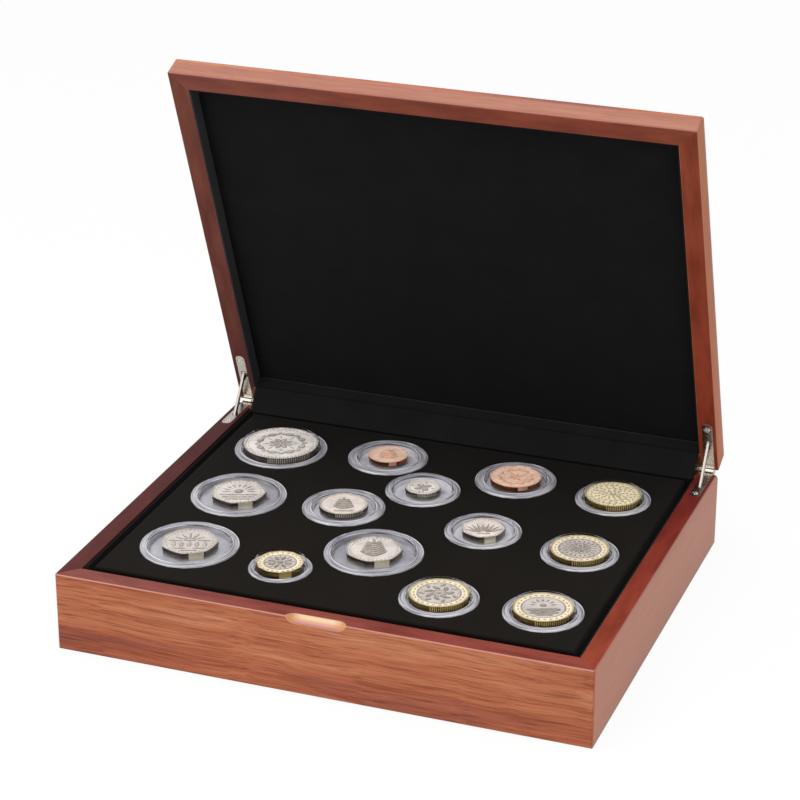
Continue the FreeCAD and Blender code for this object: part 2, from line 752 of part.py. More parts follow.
panel = slab("lid_panel", OUTER_X, OUTER_Y, ("panel_bottom", "lid_top"))
dress(panel, "Fillet", "corner_round", lambda edge: along(edge, "z"))
dress(panel, "Fillet", "edge_round", lambda edge: near(edge.BoundBox.ZMin, "lid_top"))
piece(on_lid(panel))
piece(on_lid(slab("lid_pad", HALF_X, HALF_Y, ("pad_bottom", "panel_bottom"))))
piece(on_lid(lining_ring("lid_lining", "lid_lining_thickness", "(lid_rim + lid_lining_drop)", "pad_bottom")))
piece(on_lid(slab(
    "lid_flap",
    FLAP_X,
    ("inner_depth / 2", "flap_back"),
    ("lid_rim + flap_bed - flap_thickness", "lid_rim + flap_bed"),
)))

# Stay hinges. The right-hand ones are drawn, and the left-hand ones mirror them.


def knuckle(body, name, start, length):
    """The tube at the end of a leaf that turns on the hinge pin."""
    sketch = sketch_on(body, name, "YZ_Plane", start)
    add_circle(sketch, "axis_y", "base_height", "knuckle_radius")
    add_circle(sketch, "axis_y", "base_height", "pin_radius + running_clearance")
    pad(body, sketch, length)


def leaf_cuts(body, top, slot_y, rim):
    """The arm's slot, the countersunk screw hole and the round far end."""
    depth = "leaf_thickness + 2 * overrun"
    slot = sketch_on(body, body.Name + "_slot", "XY_Plane", f"{top} + overrun")
    slot_x = ("leaf_x - guide_slot_width / 2", "leaf_x + guide_slot_width / 2")
    add_loop(slot, rectangle(slot_x, slot_y))
    pocket(body, slot, depth)
    hole = sketch_on(body, body.Name + "_screw_hole", "XY_Plane", f"{top} + overrun")
    add_circle(hole, "leaf_x", "axis_y - screw_reach", "screw_shank_radius + running_clearance")
    pocket(body, hole, depth)
    dress(
        body,
        "Chamfer",
        "screw_head_radius - screw_shank_radius",
        lambda edge: edge.Curve.TypeId == "Part::GeomCircle"
        and near(edge.BoundBox.ZMin, rim)
        and near(edge.BoundBox.ZMax, rim),
    )
    dress(body, "Fillet", "leaf_width * leaf_round_share", lambda edge: along(edge, "z", y="leaf_far"))


def base_leaf():
    body = new_body("right_base_leaf")
    outline = sketch_on(body, "base_leaf_outline", "XY_Plane", "base_leaf_bottom")
    add_loop(outline, [
        ("leaf_outer", "leaf_far"),
        ("leaf_outer", "leaf_near"),
        ("base_knuckle_end", "leaf_near"),
        ("base_knuckle_end", "knuckle_join"),
        ("base_knuckle_start", "knuckle_join"),
        ("base_knuckle_start", "leaf_near - tab_width"),
        ("leaf_inner", "leaf_near - tab_width"),
        ("leaf_inner", "leaf_far"),
    ])
    pad(body, outline, "leaf_thickness")
    knuckle(body, "base_knuckle", "base_knuckle_start", "knuckle_length")
    slot_y = ("guide_y - guide_slot_length / 2", "guide_y + guide_slot_length / 2")
    leaf_cuts(body, "base_leaf_top", slot_y, "base_leaf_top")
    return body


def lid_leaf():
    body = new_body("right_lid_leaf")
    outline = sketch_on(body, "lid_leaf_outline", "XY_Plane", "lid_leaf_bottom")
    add_loop(outline, rectangle(("leaf_inner", "leaf_outer"), ("leaf_far", "knuckle_join")))
    pad(body, outline, "leaf_thickness")
    knuckle(body, "lid_knuckle", "leaf_inner", "leaf_width")
    slot_y = ("pivot_y - pivot_slot_front", "pivot_y + pivot_slot_back")
    leaf_cuts(body, "lid_leaf_top", slot_y, "lid_leaf_bottom")
    lug_y = ("pivot_y - lug_size / 2", "pivot_y + lug_size / 2")
    lug_z = ("lid_leaf_top - leaf_thickness / 2", "pivot_z + lug_size / 2")
    for name, start in (
        ("outer_lug", "leaf_x + guide_slot_width / 2"),
        ("inner_lug", "leaf_x - guide_slot_width / 2 - lug_thickness"),
    ):
        lug = sketch_on(body, name, "YZ_Plane", start)
        add_loop(lug, rectangle(lug_y, lug_z))
        pad(body, lug, "lug_thickness")
    return body


right_base_leaf = piece(base_leaf())
piece(mirrored("left_base_leaf", right_base_leaf))
right_lid_leaf = piece(on_lid(lid_leaf()))
doc.recompute()
piece(mirrored("left_lid_leaf", right_lid_leaf))


def stay_arm():
    """The flat arm: an eye at its pivot, and a cross bar that stops under the base leaf."""
    body = new_body("right_stay_arm")
    bar = sketch_on(body, "arm_bar", "YZ_Plane")
    add_loop(bar, rectangle(("-arm_width / 2", "arm_width / 2"), ("-arm_length", "0")))
    pad(body, bar, "arm_thickness", both_ways=True)
    eye = sketch_on(body, "arm_eye", "YZ_Plane")
    add_circle(eye, "0", "0", "eye_radius")
    pad(body, eye, "arm_thickness", both_ways=True)
    stop = sketch_on(body, "arm_stop", "YZ_Plane")
    stop_height = ("-arm_length - stop_half", "stop_half - arm_length")
    add_loop(stop, rectangle(("-stop_half", "stop_half"), stop_height))
    pad(body, stop, "stop_length", both_ways=True)
    hole = sketch_on(body, "arm_hole", "YZ_Plane", "arm_thickness")
    add_circle(hole, "0", "0", "rivet_radius + running_clearance")
    pocket(body, hole, "2 * arm_thickness")
    pivot = LID_POSE.multVec(FreeCAD.Vector(number("leaf_x"), number("pivot_y"), number("pivot_z")))
    body.Placement = FreeCAD.Placement(pivot, FreeCAD.Rotation(FreeCAD.Vector(1, 0, 0), -number("arm_lean")))
    return body


right_arm = piece(stay_arm())
piece(mirrored("left_stay_arm", right_arm))


def screw(name):
    """A countersunk wood screw whose head's top is at its origin."""
    body = new_body(name)
    profile = sketch_on(body, name + "_profile", "XZ_Plane")
    head = "screw_head_radius - screw_shank_radius"
    add_loop(profile, [
        ("0", "0"),
        ("screw_head_radius - running_clearance", "0"),
        ("screw_shank_radius", f"-({head} - running_clearance)"),
        ("screw_shank_radius", "-screw_length"),
        ("0", "-screw_length"),
    ])
    turned = body.newObject("PartDesign::Revolution", name + "_turned")
    turned.Profile = profile
    turned.ReferenceAxis = (profile, ["V_Axis"])
    turned.Angle = 360
    doc.recompute()
    return body


base_screw = screw("right_base_screw")
base_screw.Placement.Base = FreeCAD.Vector(
    number("leaf_x"), number("axis_y - screw_reach"), number("base_leaf_top - screw_sink")
)
piece(group("base_leaf_screws", [base_screw, mirrored("left_base_screw", base_screw)]))

lid_screw = screw("right_lid_screw")
lid_screw_place = FreeCAD.Placement(
    FreeCAD.Vector(number("leaf_x"), number("axis_y - screw_reach"), number("lid_leaf_bottom + screw_sink")),
    FreeCAD.Rotation(FreeCAD.Vector(1, 0, 0), 180),
)
on_lid(lid_screw, lid_screw_place)
doc.recompute()
piece(group("lid_leaf_screws", [lid_screw, mirrored("left_lid_screw", lid_screw)]))

right_pin = rod("right_pin", "pin_radius", ("base_knuckle_start", "leaf_outer"), "axis_y", "base_height")
piece(group("hinge_pins", [right_pin, mirrored("left_pin", right_pin)]))

RIVET_X = ("leaf_x - guide_slot_width / 2", "leaf_x + guide_slot_width / 2")
right_rivet = rod("right_rivet", "rivet_radius", RIVET_X, "pivot_y", "pivot_z", sides="tiny_side_count")
piece(on_lid(group("stay_rivets", [right_rivet, mirrored("left_rivet", right_rivet)])))

# Tray with its wells. Wells, capsules and coins are many-sided, all turned alike, to keep the facets few.

ROUND = "round_side_count"

tray_blank = slab(
    "tray_blank",
    ("-tray_width / 2", "tray_width / 2"),
    ("-tray_depth / 2", "tray_depth / 2"),
    ("tray_bottom", "tray_top"),
)
dress(tray_blank, "Fillet", "tray_edge_round", lambda edge: near(edge.BoundBox.ZMin, "tray_top"))

# Each coin: name, kind, size, thickness, capsule family, column and row
COINS = [
    ("large_silver_coin", "round", "large_silver", "big", "left_back_column", "left_back_row"),
    ("small_copper_coin", "round", "small_copper", "mid", "inner_column", "inner_back_row"),
    ("large_copper_coin", "round", "large_copper", "mid", "right_back_column", "right_back_row"),
    ("gold_coin", "round", "gold_coin", "standard", "outer_back_column", "outer_back_row"),
    ("left_heptagon_coin", "heptagon", "heptagon", "big", "left_column", "left_mid_row"),
    ("mid_silver_coin", "round", "mid_silver", "mid", "inner_column", "inner_mid_row"),
    ("small_silver_coin", "round", "small_silver", "standard", "centre_column", "centre_back_row"),
    ("small_heptagon_coin", "heptagon", "small_heptagon", "standard", "right_column", "right_mid_row"),
    ("right_two_metal_coin", "two_metal", "two_metal", "standard", "outer_column", "outer_mid_row"),
    ("front_heptagon_coin", "heptagon", "heptagon", "big", "left_column", "left_front_row"),
    ("twelve_sided_coin", "twelve_sided", "twelve_sided", "small", "twelve_column", "inner_front_row"),
    ("centre_heptagon_coin", "heptagon", "heptagon", "big", "centre_front_column", "centre_front_row"),
    ("front_two_metal_coin", "two_metal", "two_metal", "standard", "right_front_column", "right_front_row"),
    ("corner_two_metal_coin", "two_metal", "two_metal", "standard", "outer_front_column", "outer_front_row"),
]

WELL_Z = ("capsule_bottom", "tray_top + overrun")
wells = [
    prism(name + "_well", ROUND, f"{family}_capsule / 2 + well_clearance", x, y, WELL_Z)
    for name, _, _, family, x, y in COINS
]
piece(cut("tray_board", tray_blank, group("wells", wells)))

# Coins and capsules


def capsule(name, family, thickness, x, y):
    """A base half that fills the well, and a domed cover over the coin."""
    head = f"coin_seat + {thickness} + coin_head_gap"
    base = prism(name + "_base", ROUND, f"{family}_capsule / 2", x, y, ("capsule_bottom", "coin_seat"))
    dome_height = ("coin_seat", f"{head} + cover_thickness")
    dome = prism(name + "_dome", ROUND, f"{family}_cavity / 2 + dome_wall", x, y, dome_height)
    cavity = prism(name + "_cavity", ROUND, f"{family}_cavity / 2", x, y, ("coin_seat - overrun", head))
    return group(name, [base, cut(name + "_cover", dome, cavity)])


def heptagon(name, width, thickness, x, y):
    """A seven-sided coin of constant width: each side bulges about the opposite corner, in short facets."""
    corner_count = 7
    facets = 3
    span = number(width)
    corner_radius = span / (2 * math.cos(math.pi / (2 * corner_count)))
    opening = math.pi / corner_count
    outline = []
    for index in range(corner_count):
        far = 2 * opening * index
        centre = FreeCAD.Vector(corner_radius * math.cos(far), corner_radius * math.sin(far), 0)
        for facet in range(facets):
            turn = far + math.pi + opening * (facet / facets - 1 / 2)
            outline.append(centre + FreeCAD.Vector(span * math.cos(turn), span * math.sin(turn), 0))
    outline.sort(key=lambda point: math.atan2(point.y, point.x))
    face = Part.Face(Part.makePolygon(outline + outline[:1]))
    item = doc.addObject("Part::Feature", name)
    item.Shape = face.extrude(FreeCAD.Vector(0, 0, number(thickness)))
    item.Placement = FreeCAD.Placement(
        FreeCAD.Vector(number(x), number(y), number("coin_seat")),
        FreeCAD.Rotation(FreeCAD.Vector(0, 0, 1), number("coin_turn_angle")),
    )
    return item


def ring_and_core(name, blank, core_size, thickness, x, y):
    """A two-metal coin: a ring and the core that is pressed into it."""
    past = ("coin_seat - overrun", f"coin_seat + {thickness} + overrun")
    hole = prism(name + "_hole", ROUND, f"{core_size} / 2", x, y, past)
    piece(cut(name + "_ring", blank, hole))
    piece(prism(name + "_core", ROUND, f"{core_size} / 2", x, y, ("coin_seat", f"coin_seat + {thickness}")))


for name, kind, size, family, x, y in COINS:
    thickness = f"{size}_thickness"
    height = ("coin_seat", f"coin_seat + {thickness}")
    if kind == "round":
        piece(prism(name, ROUND, f"{size}_diameter / 2", x, y, height))
    elif kind == "heptagon":
        piece(heptagon(name, f"{size}_width", thickness, x, y))
    elif kind == "two_metal":
        blank = prism(name + "_blank", ROUND, f"{size}_diameter / 2", x, y, height)
        ring_and_core(name, blank, f"{size}_core_diameter", thickness, x, y)
    else:
        blank = prism(name + "_blank", "12", f"{size}_diameter / 2", x, y, height, turn="coin_turn_angle")
        ring_and_core(name, blank, f"{size}_core_diameter", thickness, x, y)
    piece(capsule(name.replace("_coin", "_capsule"), family, thickness, x, y))

# Check everything, then write one file per piece

doc.recompute()
failed = [item.Label for item in doc.Objects if {"Invalid", "Error"} & set(item.State)]
failed += [item.Label for item in PIECES if item.Shape.isNull() or not item.Shape.isValid()]
if failed:
    raise ValueError("failed: " + ", ".join(failed))
os.makedirs("parts", exist_ok=True)
for item in PIECES:
    item.Shape.exportStep(f"parts/{item.Label}.step")
print(len(PIECES), "pieces, case", number("case_width"), number("case_depth"))
print("arm", number("arm_length"), "lean", number("arm_lean"), "mortise", number("mortise_depth"))
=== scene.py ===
# %% [markdown]
# # An open coin case
# A hinged wooden case stands open with a black tray of capsuled coins in it. The solid model comes in first
# and stays fixed. It gives every piece its place and size, so nothing here is fitted by eye: we dress the
# wood, cloth and metal that are already right, and model anew what is softer, rounder or finer than a solid
# model should be.

# %% Load the solid model
import math
import bmesh
import bpy
from mathutils import Matrix, Vector


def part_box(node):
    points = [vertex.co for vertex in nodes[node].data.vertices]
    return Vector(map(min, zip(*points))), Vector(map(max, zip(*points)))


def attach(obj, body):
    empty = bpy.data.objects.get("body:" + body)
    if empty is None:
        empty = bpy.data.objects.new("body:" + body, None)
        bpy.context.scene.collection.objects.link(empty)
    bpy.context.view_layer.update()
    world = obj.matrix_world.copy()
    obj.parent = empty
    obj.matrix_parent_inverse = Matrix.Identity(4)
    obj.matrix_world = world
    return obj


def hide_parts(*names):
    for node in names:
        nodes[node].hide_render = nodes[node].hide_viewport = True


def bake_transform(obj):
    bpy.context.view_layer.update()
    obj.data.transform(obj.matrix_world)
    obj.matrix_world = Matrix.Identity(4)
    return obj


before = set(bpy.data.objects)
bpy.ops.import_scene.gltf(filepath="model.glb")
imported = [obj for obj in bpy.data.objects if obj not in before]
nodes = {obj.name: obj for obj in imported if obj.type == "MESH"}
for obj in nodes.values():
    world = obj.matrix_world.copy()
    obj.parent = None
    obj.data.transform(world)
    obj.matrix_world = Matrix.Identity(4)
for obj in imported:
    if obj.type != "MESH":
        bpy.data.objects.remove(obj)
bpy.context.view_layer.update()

MM = 0.001

# %% [markdown]
# ## Camera
# The photograph was taken from the front right, a little above the case, with a long lens. Angles and
# distance were solved from the case's own corners. A long lens far away keeps the sides nearly parallel.

# %% Camera
def direction(azimuth, elevation):
    """Unit vector from the object towards a viewer. Azimuth 0 is the front."""
    a, e = math.radians(azimuth), math.radians(elevation)
    return Vector((math.sin(a) * math.cos(e), -math.cos(a) * math.cos(e), math.sin(e)))


looked_at = Vector((52.518, -139.820, 170.216)) * MM
towards_camera = direction(20.466, 23.693)
CAMERA_DISTANCE = 1128.46 * MM
bpy.ops.object.camera_add(location=looked_at + towards_camera * CAMERA_DISTANCE)
camera = bpy.context.object
camera.rotation_euler = towards_camera.to_track_quat("Z", "Y").to_euler()
camera.data.lens = 121.14
camera.data.sensor_width = 36
bpy.context.scene.camera = camera
bpy.context.scene.view_settings.view_transform = "Standard"
print("camera at", [round(v, 3) for v in camera.location])

# %% [markdown]
# ## Nodes and colours
# Every finish below is a small network of nodes. Colours are written as the hex values one reads off a
# picture and turned to linear light once. One helper adds a node, sets it and links it.

# %% Node helpers
def linear(code):
    """sRGB hex to linear RGBA."""
    channels = [int(code[i:i + 2], 16) / 255 for i in (1, 3, 5)]
    return tuple(c / 12.92 if c <= 0.04045 else ((c + 0.055) / 1.055) ** 2.4 for c in channels) + (1.0,)


def add_node(tree, kind, settings=None, sockets=None):
    """Adds a shader node, sets its properties, and fills or links its sockets by name or number."""
    node = tree.nodes.new("ShaderNode" + kind)
    for key, value in (settings or {}).items():
        setattr(node, key, value)
    for key, value in (sockets or {}).items():
        if isinstance(value, bpy.types.NodeSocket):
            tree.links.new(value, node.inputs[key])
        else:
            node.inputs[key].default_value = value
    return node


def set_stops(node, stops):
    """Gives a colour ramp its stops, as pairs of place and hex colour."""
    ramp = node.color_ramp
    while len(ramp.elements) < len(stops):
        ramp.elements.new(0.5)
    for element, (place, code) in zip(ramp.elements, stops):
        element.position = place
        element.color = linear(code)
    return node.outputs["Color"]


def new_material(name, **sockets):
    """A material whose Principled shader has the given constants on its own sockets."""
    material = bpy.data.materials.new(name)
    material.use_nodes = True
    shader = material.node_tree.nodes["Principled BSDF"]
    for key, value in sockets.items():
        shader.inputs[key.replace("_", " ")].default_value = value
    return material, material.node_tree, shader


# settings that several finishes share. A colour Mix has its share in socket 0 and its colours in 6 and 7,
# and gives the mixed colour in output 2.
BLEND = {"data_type": "RGBA"}
MULTIPLY = {"data_type": "RGBA", "blend_type": "MULTIPLY"}
TIMES = {"operation": "MULTIPLY"}
MINUS = {"operation": "SUBTRACT"}
LARGER = {"operation": "MAXIMUM"}
SMALLER_THAN = {"operation": "LESS_THAN"}
DOT = {"operation": "DOT_PRODUCT"}

# %% [markdown]
# ## Studio
# The background of the photograph is white and almost shadowless. A white world and two large soft lamps
# light the case evenly. The floor shows its own white to the camera and still keeps a faint contact shadow.

# %% World, floor and lamps
FLOOR_WHITE = 0.94  # the rest shows the shadow


def seen_directly(tree):
    """1 for rays from the camera, a reflection or a clear piece, and 0 for light that falls on the object."""
    path = add_node(tree, "LightPath")
    seen = path.outputs["Is Camera Ray"]
    for ray in ("Is Glossy Ray", "Is Transmission Ray"):
        seen = add_node(tree, "Math", LARGER, {0: seen, 1: path.outputs[ray]}).outputs[0]
    return seen


scene_world = bpy.data.worlds.new("white_studio")
bpy.context.scene.world = scene_world
scene_world.use_nodes = True
sky = scene_world.node_tree
sky.nodes.clear()
dim = add_node(sky, "Background", None, {"Color": linear("#FFFFFF"), "Strength": 0.5})
white = add_node(sky, "Background", None, {"Color": linear("#FFFFFF"), "Strength": 1.0})
either = add_node(sky, "MixShader", None, {0: seen_directly(sky), 1: dim.outputs[0], 2: white.outputs[0]})
add_node(sky, "OutputWorld", None, {"Surface": either.outputs[0]})

floor_paint, tree, shader = new_material("white_floor", Base_Color=linear("#F4F3F1"), Roughness=0.9)
shader.inputs["Specular IOR Level"].default_value = 0.1
share = add_node(tree, "Math", TIMES, {0: seen_directly(tree), 1: FLOOR_WHITE})
glow = add_node(tree, "Emission", None, {"Color": linear("#FFFFFF"), "Strength": 1.0})
mixed = add_node(tree, "MixShader", None, {0: share.outputs[0], 1: shader.outputs[0], 2: glow.outputs[0]})
tree.links.new(mixed.outputs[0], tree.nodes["Material Output"].inputs["Surface"])

bpy.ops.mesh.primitive_plane_add(size=12)
studio_floor = bpy.context.object
studio_floor.name = "studio_floor"
studio_floor.location.z = -0.0004  # just under the case
studio_floor.data.materials.append(floor_paint)

LAMPS = [
    ("top_lamp", (-0.12, -0.25, 1.2), 1.2, 12.5),
    ("front_lamp", (-0.7, -1.5, 0.75), 1.1, 8.4),
]
for name, place, size, power in LAMPS:
    bpy.ops.object.light_add(type="AREA", location=place)
    lamp = bpy.context.object
    lamp.name = name
    lamp.data.size = size
    lamp.data.energy = power
    aim = Vector(place) - Vector((0, 0, 0.05))
    lamp.rotation_euler = aim.to_track_quat("Z", "Y").to_euler()
    print(name, "of", power, "watts")

# %% [markdown]
# ## Veneer
# The case is veneered in a red-brown striped wood under satin lacquer. The stripes run along each board, so
# every board gets the pattern turned to its own length. Broad bands, dark streaks and fine pores are three
# noises that are stretched along the grain. The narrow rims are stained plain and redder, and are told by
# their normal.

# %% Veneer
LID_ANGLE = math.radians(69.2)
RIM_UP = (0, 0, 1)
RIM_OPEN = (0, -math.sin(LID_ANGLE), -math.cos(LID_ANGLE))


def veneer(name, node, turn, rim, shift, figure, plain, coat, edge_highlight, ends, notch=False):
    """Striped veneer for one board. Turn brings its length to X, rim is where its rim faces, and figure is
    how far its stripes stand out from its plain tone. Edge highlight is the strength and tone of a painted
    highlight on its rounded edges, and ends is the axis along which the rim's tone changes, with its two end
    colours."""
    material, tree, shader = new_material(name, Roughness=0.45, Coat_Weight=coat, Coat_Roughness=0.25)
    shader.inputs["Specular IOR Level"].default_value = 0.05 + coat
    place = add_node(tree, "TexCoord")
    turned_to = {"Vector": place.outputs["Object"], "Rotation": turn, "Location": shift}
    board = add_node(tree, "Mapping", None, turned_to)
    # the grain wanders a few millimetres up and down over about 75 mm
    bend = add_node(tree, "TexNoise", None, {"Vector": board.outputs[0], "Scale": 1 / (75 * MM), "Detail": 2})
    sway = {0: bend.outputs["Color"], 1: (0, 7 * MM, 7 * MM), 2: board.outputs[0]}
    grain = add_node(tree, "VectorMath", {"operation": "MULTIPLY_ADD"}, sway).outputs[0]

    def layer(vector, scale, detail, stops, slant=(0, 0, 0), roughness=0.5):
        """A noise stretched along the grain, and the tones that it picks."""
        stretched = add_node(tree, "Mapping", None, {"Vector": vector, "Scale": scale, "Rotation": slant})
        look = {"Vector": stretched.outputs[0], "Scale": 1.0, "Detail": detail, "Roughness": roughness}
        noise = add_node(tree, "TexNoise", None, look).outputs["Fac"]
        return noise, set_stops(add_node(tree, "ValToRGB", None, {"Fac": noise}), stops)

    # bands about 13 mm wide and 160 mm long, a little aslant as the log was cut
    band_stops = [(0.3, "#8A4F44"), (0.43, "#AC6549"), (0.55, "#B77252"), (0.7, "#C58868")]
    band_tone = layer(grain, (6, 76, 76), 5, band_stops, (0, -0.07, 0.03), 0.56)[1]
    # streaks about 1.5 mm wide
    streak_stops = [(0.32, "#9C807C"), (0.46, "#E6DAD6"), (0.6, "#FFFFFF")]
    streak_tone = layer(grain, (6, 700, 700), 6, streak_stops, (0, -0.05, 0.03), 0.75)[1]
    # pores are 0.1 mm wide in the wood, and drawn at 0.6 mm so that they show
    pores, pore_tone = layer(grain, (50, 1700, 1700), 2, [(0.3, "#A48A7E"), (0.5, "#FFFFFF")])
    calm = add_node(tree, "Mix", BLEND, {0: figure, 6: linear(plain), 7: band_tone})
    streaked = add_node(tree, "Mix", MULTIPLY, {0: 0.7 * figure, 6: calm.outputs[2], 7: streak_tone})
    face = add_node(tree, "Mix", MULTIPLY, {0: 0.6 * figure, 6: streaked.outputs[2], 7: pore_tone})
    # the rim: stained solid wood with soft blotches about 25 mm long
    blotch_tone = layer(board.outputs[0], (40, 160, 160), 4, [(0.3, "#C9BDB8"), (0.6, "#FFFFFF")])[1]
    # the rim's tone changes along an axis between two end colours; the darker back end on the base's right
    # wall is a painted reflection of the dark lid
    axis, low_tone, high_tone = ends
    low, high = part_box(node)
    split = add_node(tree, "SeparateXYZ", None, {0: place.outputs["Object"]})
    k = "XYZ".index(axis)
    reach = {"Value": split.outputs[axis], "From Min": low[k], "From Max": high[k]}
    along = add_node(tree, "MapRange", None, reach)
    stain_and_reflection = {0: along.outputs[0], 6: linear(low_tone), 7: linear(high_tone)}
    stained_and_painted = add_node(tree, "Mix", BLEND, stain_and_reflection)
    rim_tone = add_node(tree, "Mix", MULTIPLY, {0: 0.8, 6: stained_and_painted.outputs[2], 7: blotch_tone})
    facing = add_node(tree, "VectorMath", DOT, {0: place.outputs["Normal"], 1: rim})
    edge = {"Value": facing.outputs["Value"], "From Min": 0.2, "From Max": 0.6}
    on_rim = add_node(tree, "MapRange", None, edge)
    # the faces towards the inside of the case are stained like the rim
    middle = (low + high) / 2
    at_side = abs(middle.x) > abs(middle.y)
    inward = (-math.copysign(1, middle.x), 0, 0) if at_side else (0, -math.copysign(1, middle.y), 0)
    towards = add_node(tree, "VectorMath", DOT, {0: place.outputs["Normal"], 1: inward})
    edge = {"Value": towards.outputs["Value"], "From Min": 0.4, "From Max": 0.7}
    inside = add_node(tree, "MapRange", None, edge)
    stained_part = add_node(tree, "Math", LARGER, {0: on_rim.outputs[0], 1: inside.outputs[0]})
    parts = {0: stained_part.outputs[0], 6: face.outputs[2], 7: rim_tone.outputs[2]}
    wood = add_node(tree, "Mix", BLEND, parts)
    # the rounded edge between face and rim gets a painted highlight, a paler tone on the fillet
    rounding = add_node(tree, "ValToRGB", None, {"Fac": facing.outputs["Value"]})
    pale = set_stops(rounding, [(0.25, "#000000"), (0.5, "#FFFFFF"), (0.7, "#FFFFFF"), (0.92, "#000000")])
    pale = add_node(tree, "Math", TIMES, {0: pale, 1: edge_highlight[0]})
    wood = add_node(tree, "Mix", BLEND, {0: pale.outputs[0], 6: wood.outputs[2], 7: linear(edge_highlight[1])})
    colour = wood.outputs[2]
    if notch:
        colour = bare_notch(tree, place, colour)
    tree.links.new(colour, shader.inputs["Base Color"])
    bump = add_node(tree, "Bump", None, {"Height": pores, "Strength": 0.05, "Distance": 0.1 * MM})
    tree.links.new(bump.outputs[0], shader.inputs["Normal"])
    return material


# %% [markdown]
# ## Finger notch
# The scoop in the front edge is cut through the stain, so its hollow shows bare, pale wood. Points on the
# hollow are exactly one notch radius from the notch's axis, and everything else on the wall is further
# away.

# %% Bare wood in the notch
NOTCH_RADIUS = 4.6 * MM
NOTCH_HALF = 10.25 * MM
NOTCH_OFFSET = 1.2 * MM


def bare_notch(tree, place, stained_and_painted):
    """Pale wood where the wall lies on the notch's round hollow."""
    front_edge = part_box("base_front_wall")[0].y - NOTCH_OFFSET
    top_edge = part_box("base_front_wall")[1].z + NOTCH_OFFSET
    split = add_node(tree, "SeparateXYZ", None, {0: place.outputs["Object"]})
    side = add_node(tree, "Math", {"operation": "ABSOLUTE"}, {0: split.outputs["X"]})
    past = add_node(tree, "Math", MINUS, {0: side.outputs[0], 1: NOTCH_HALF})
    past = add_node(tree, "Math", LARGER, {0: past.outputs[0], 1: 0.0})
    back = add_node(tree, "Math", MINUS, {0: split.outputs["Y"], 1: front_edge})
    up = add_node(tree, "Math", MINUS, {0: split.outputs["Z"], 1: top_edge})
    away = add_node(tree, "CombineXYZ", None, {0: past.outputs[0], 1: back.outputs[0], 2: up.outputs[0]})
    reach = add_node(tree, "VectorMath", {"operation": "LENGTH"}, {0: away.outputs[0]})
    inside = add_node(tree, "Math", SMALLER_THAN, {0: reach.outputs["Value"], 1: NOTCH_RADIUS + 0.06 * MM})
    fall = {"Value": up.outputs[0], "From Min": -NOTCH_RADIUS, "From Max": -1.5 * NOTCH_OFFSET}
    depth = add_node(tree, "MapRange", None, fall)
    bare = set_stops(
        add_node(tree, "ValToRGB", None, {"Fac": depth.outputs[0]}),
        [(0.0, "#7E4038"), (0.1, "#B07C72"), (0.3, "#C79184"),
         (0.5, "#CFA184"), (0.66, "#DDBC94"), (0.9, "#E0C6A2")],
    )
    # the round ends cut across the grain, which drinks the lacquer and looks orange
    to_end = {"Value": side.outputs[0], "From Min": NOTCH_HALF - 2.5 * MM, "From Max": NOTCH_HALF + 2.5 * MM}
    end_share = add_node(tree, "MapRange", None, {**to_end, "To Max": 0.75})
    bare = add_node(tree, "Mix", BLEND, {0: end_share.outputs[0], 6: bare, 7: linear("#B97A42")})
    # the mouth's edge gets a painted highlight, paler for half a millimetre
    near = add_node(tree, "Math", SMALLER_THAN, {0: reach.outputs["Value"], 1: NOTCH_RADIUS + 0.5 * MM})
    edge_highlight = add_node(tree, "Math", TIMES, {0: near.outputs[0], 1: 0.55})
    mouth = add_node(tree, "Mix", BLEND, {0: edge_highlight.outputs[0], 6: stained_and_painted, 7: linear("#D9A38E")})
    hollow = {0: inside.outputs[0], 6: mouth.outputs[2], 7: bare.outputs[2]}
    return add_node(tree, "Mix", BLEND, hollow).outputs[2]


def dress(material, *names):
    """Gives solid pieces their finish."""
    for name in names:
        nodes[name].data.materials.clear()
        nodes[name].data.materials.append(material)
    print(material.name, "on", ", ".join(names))


QUARTER = math.pi / 2
CHERRY = "#B4663F"
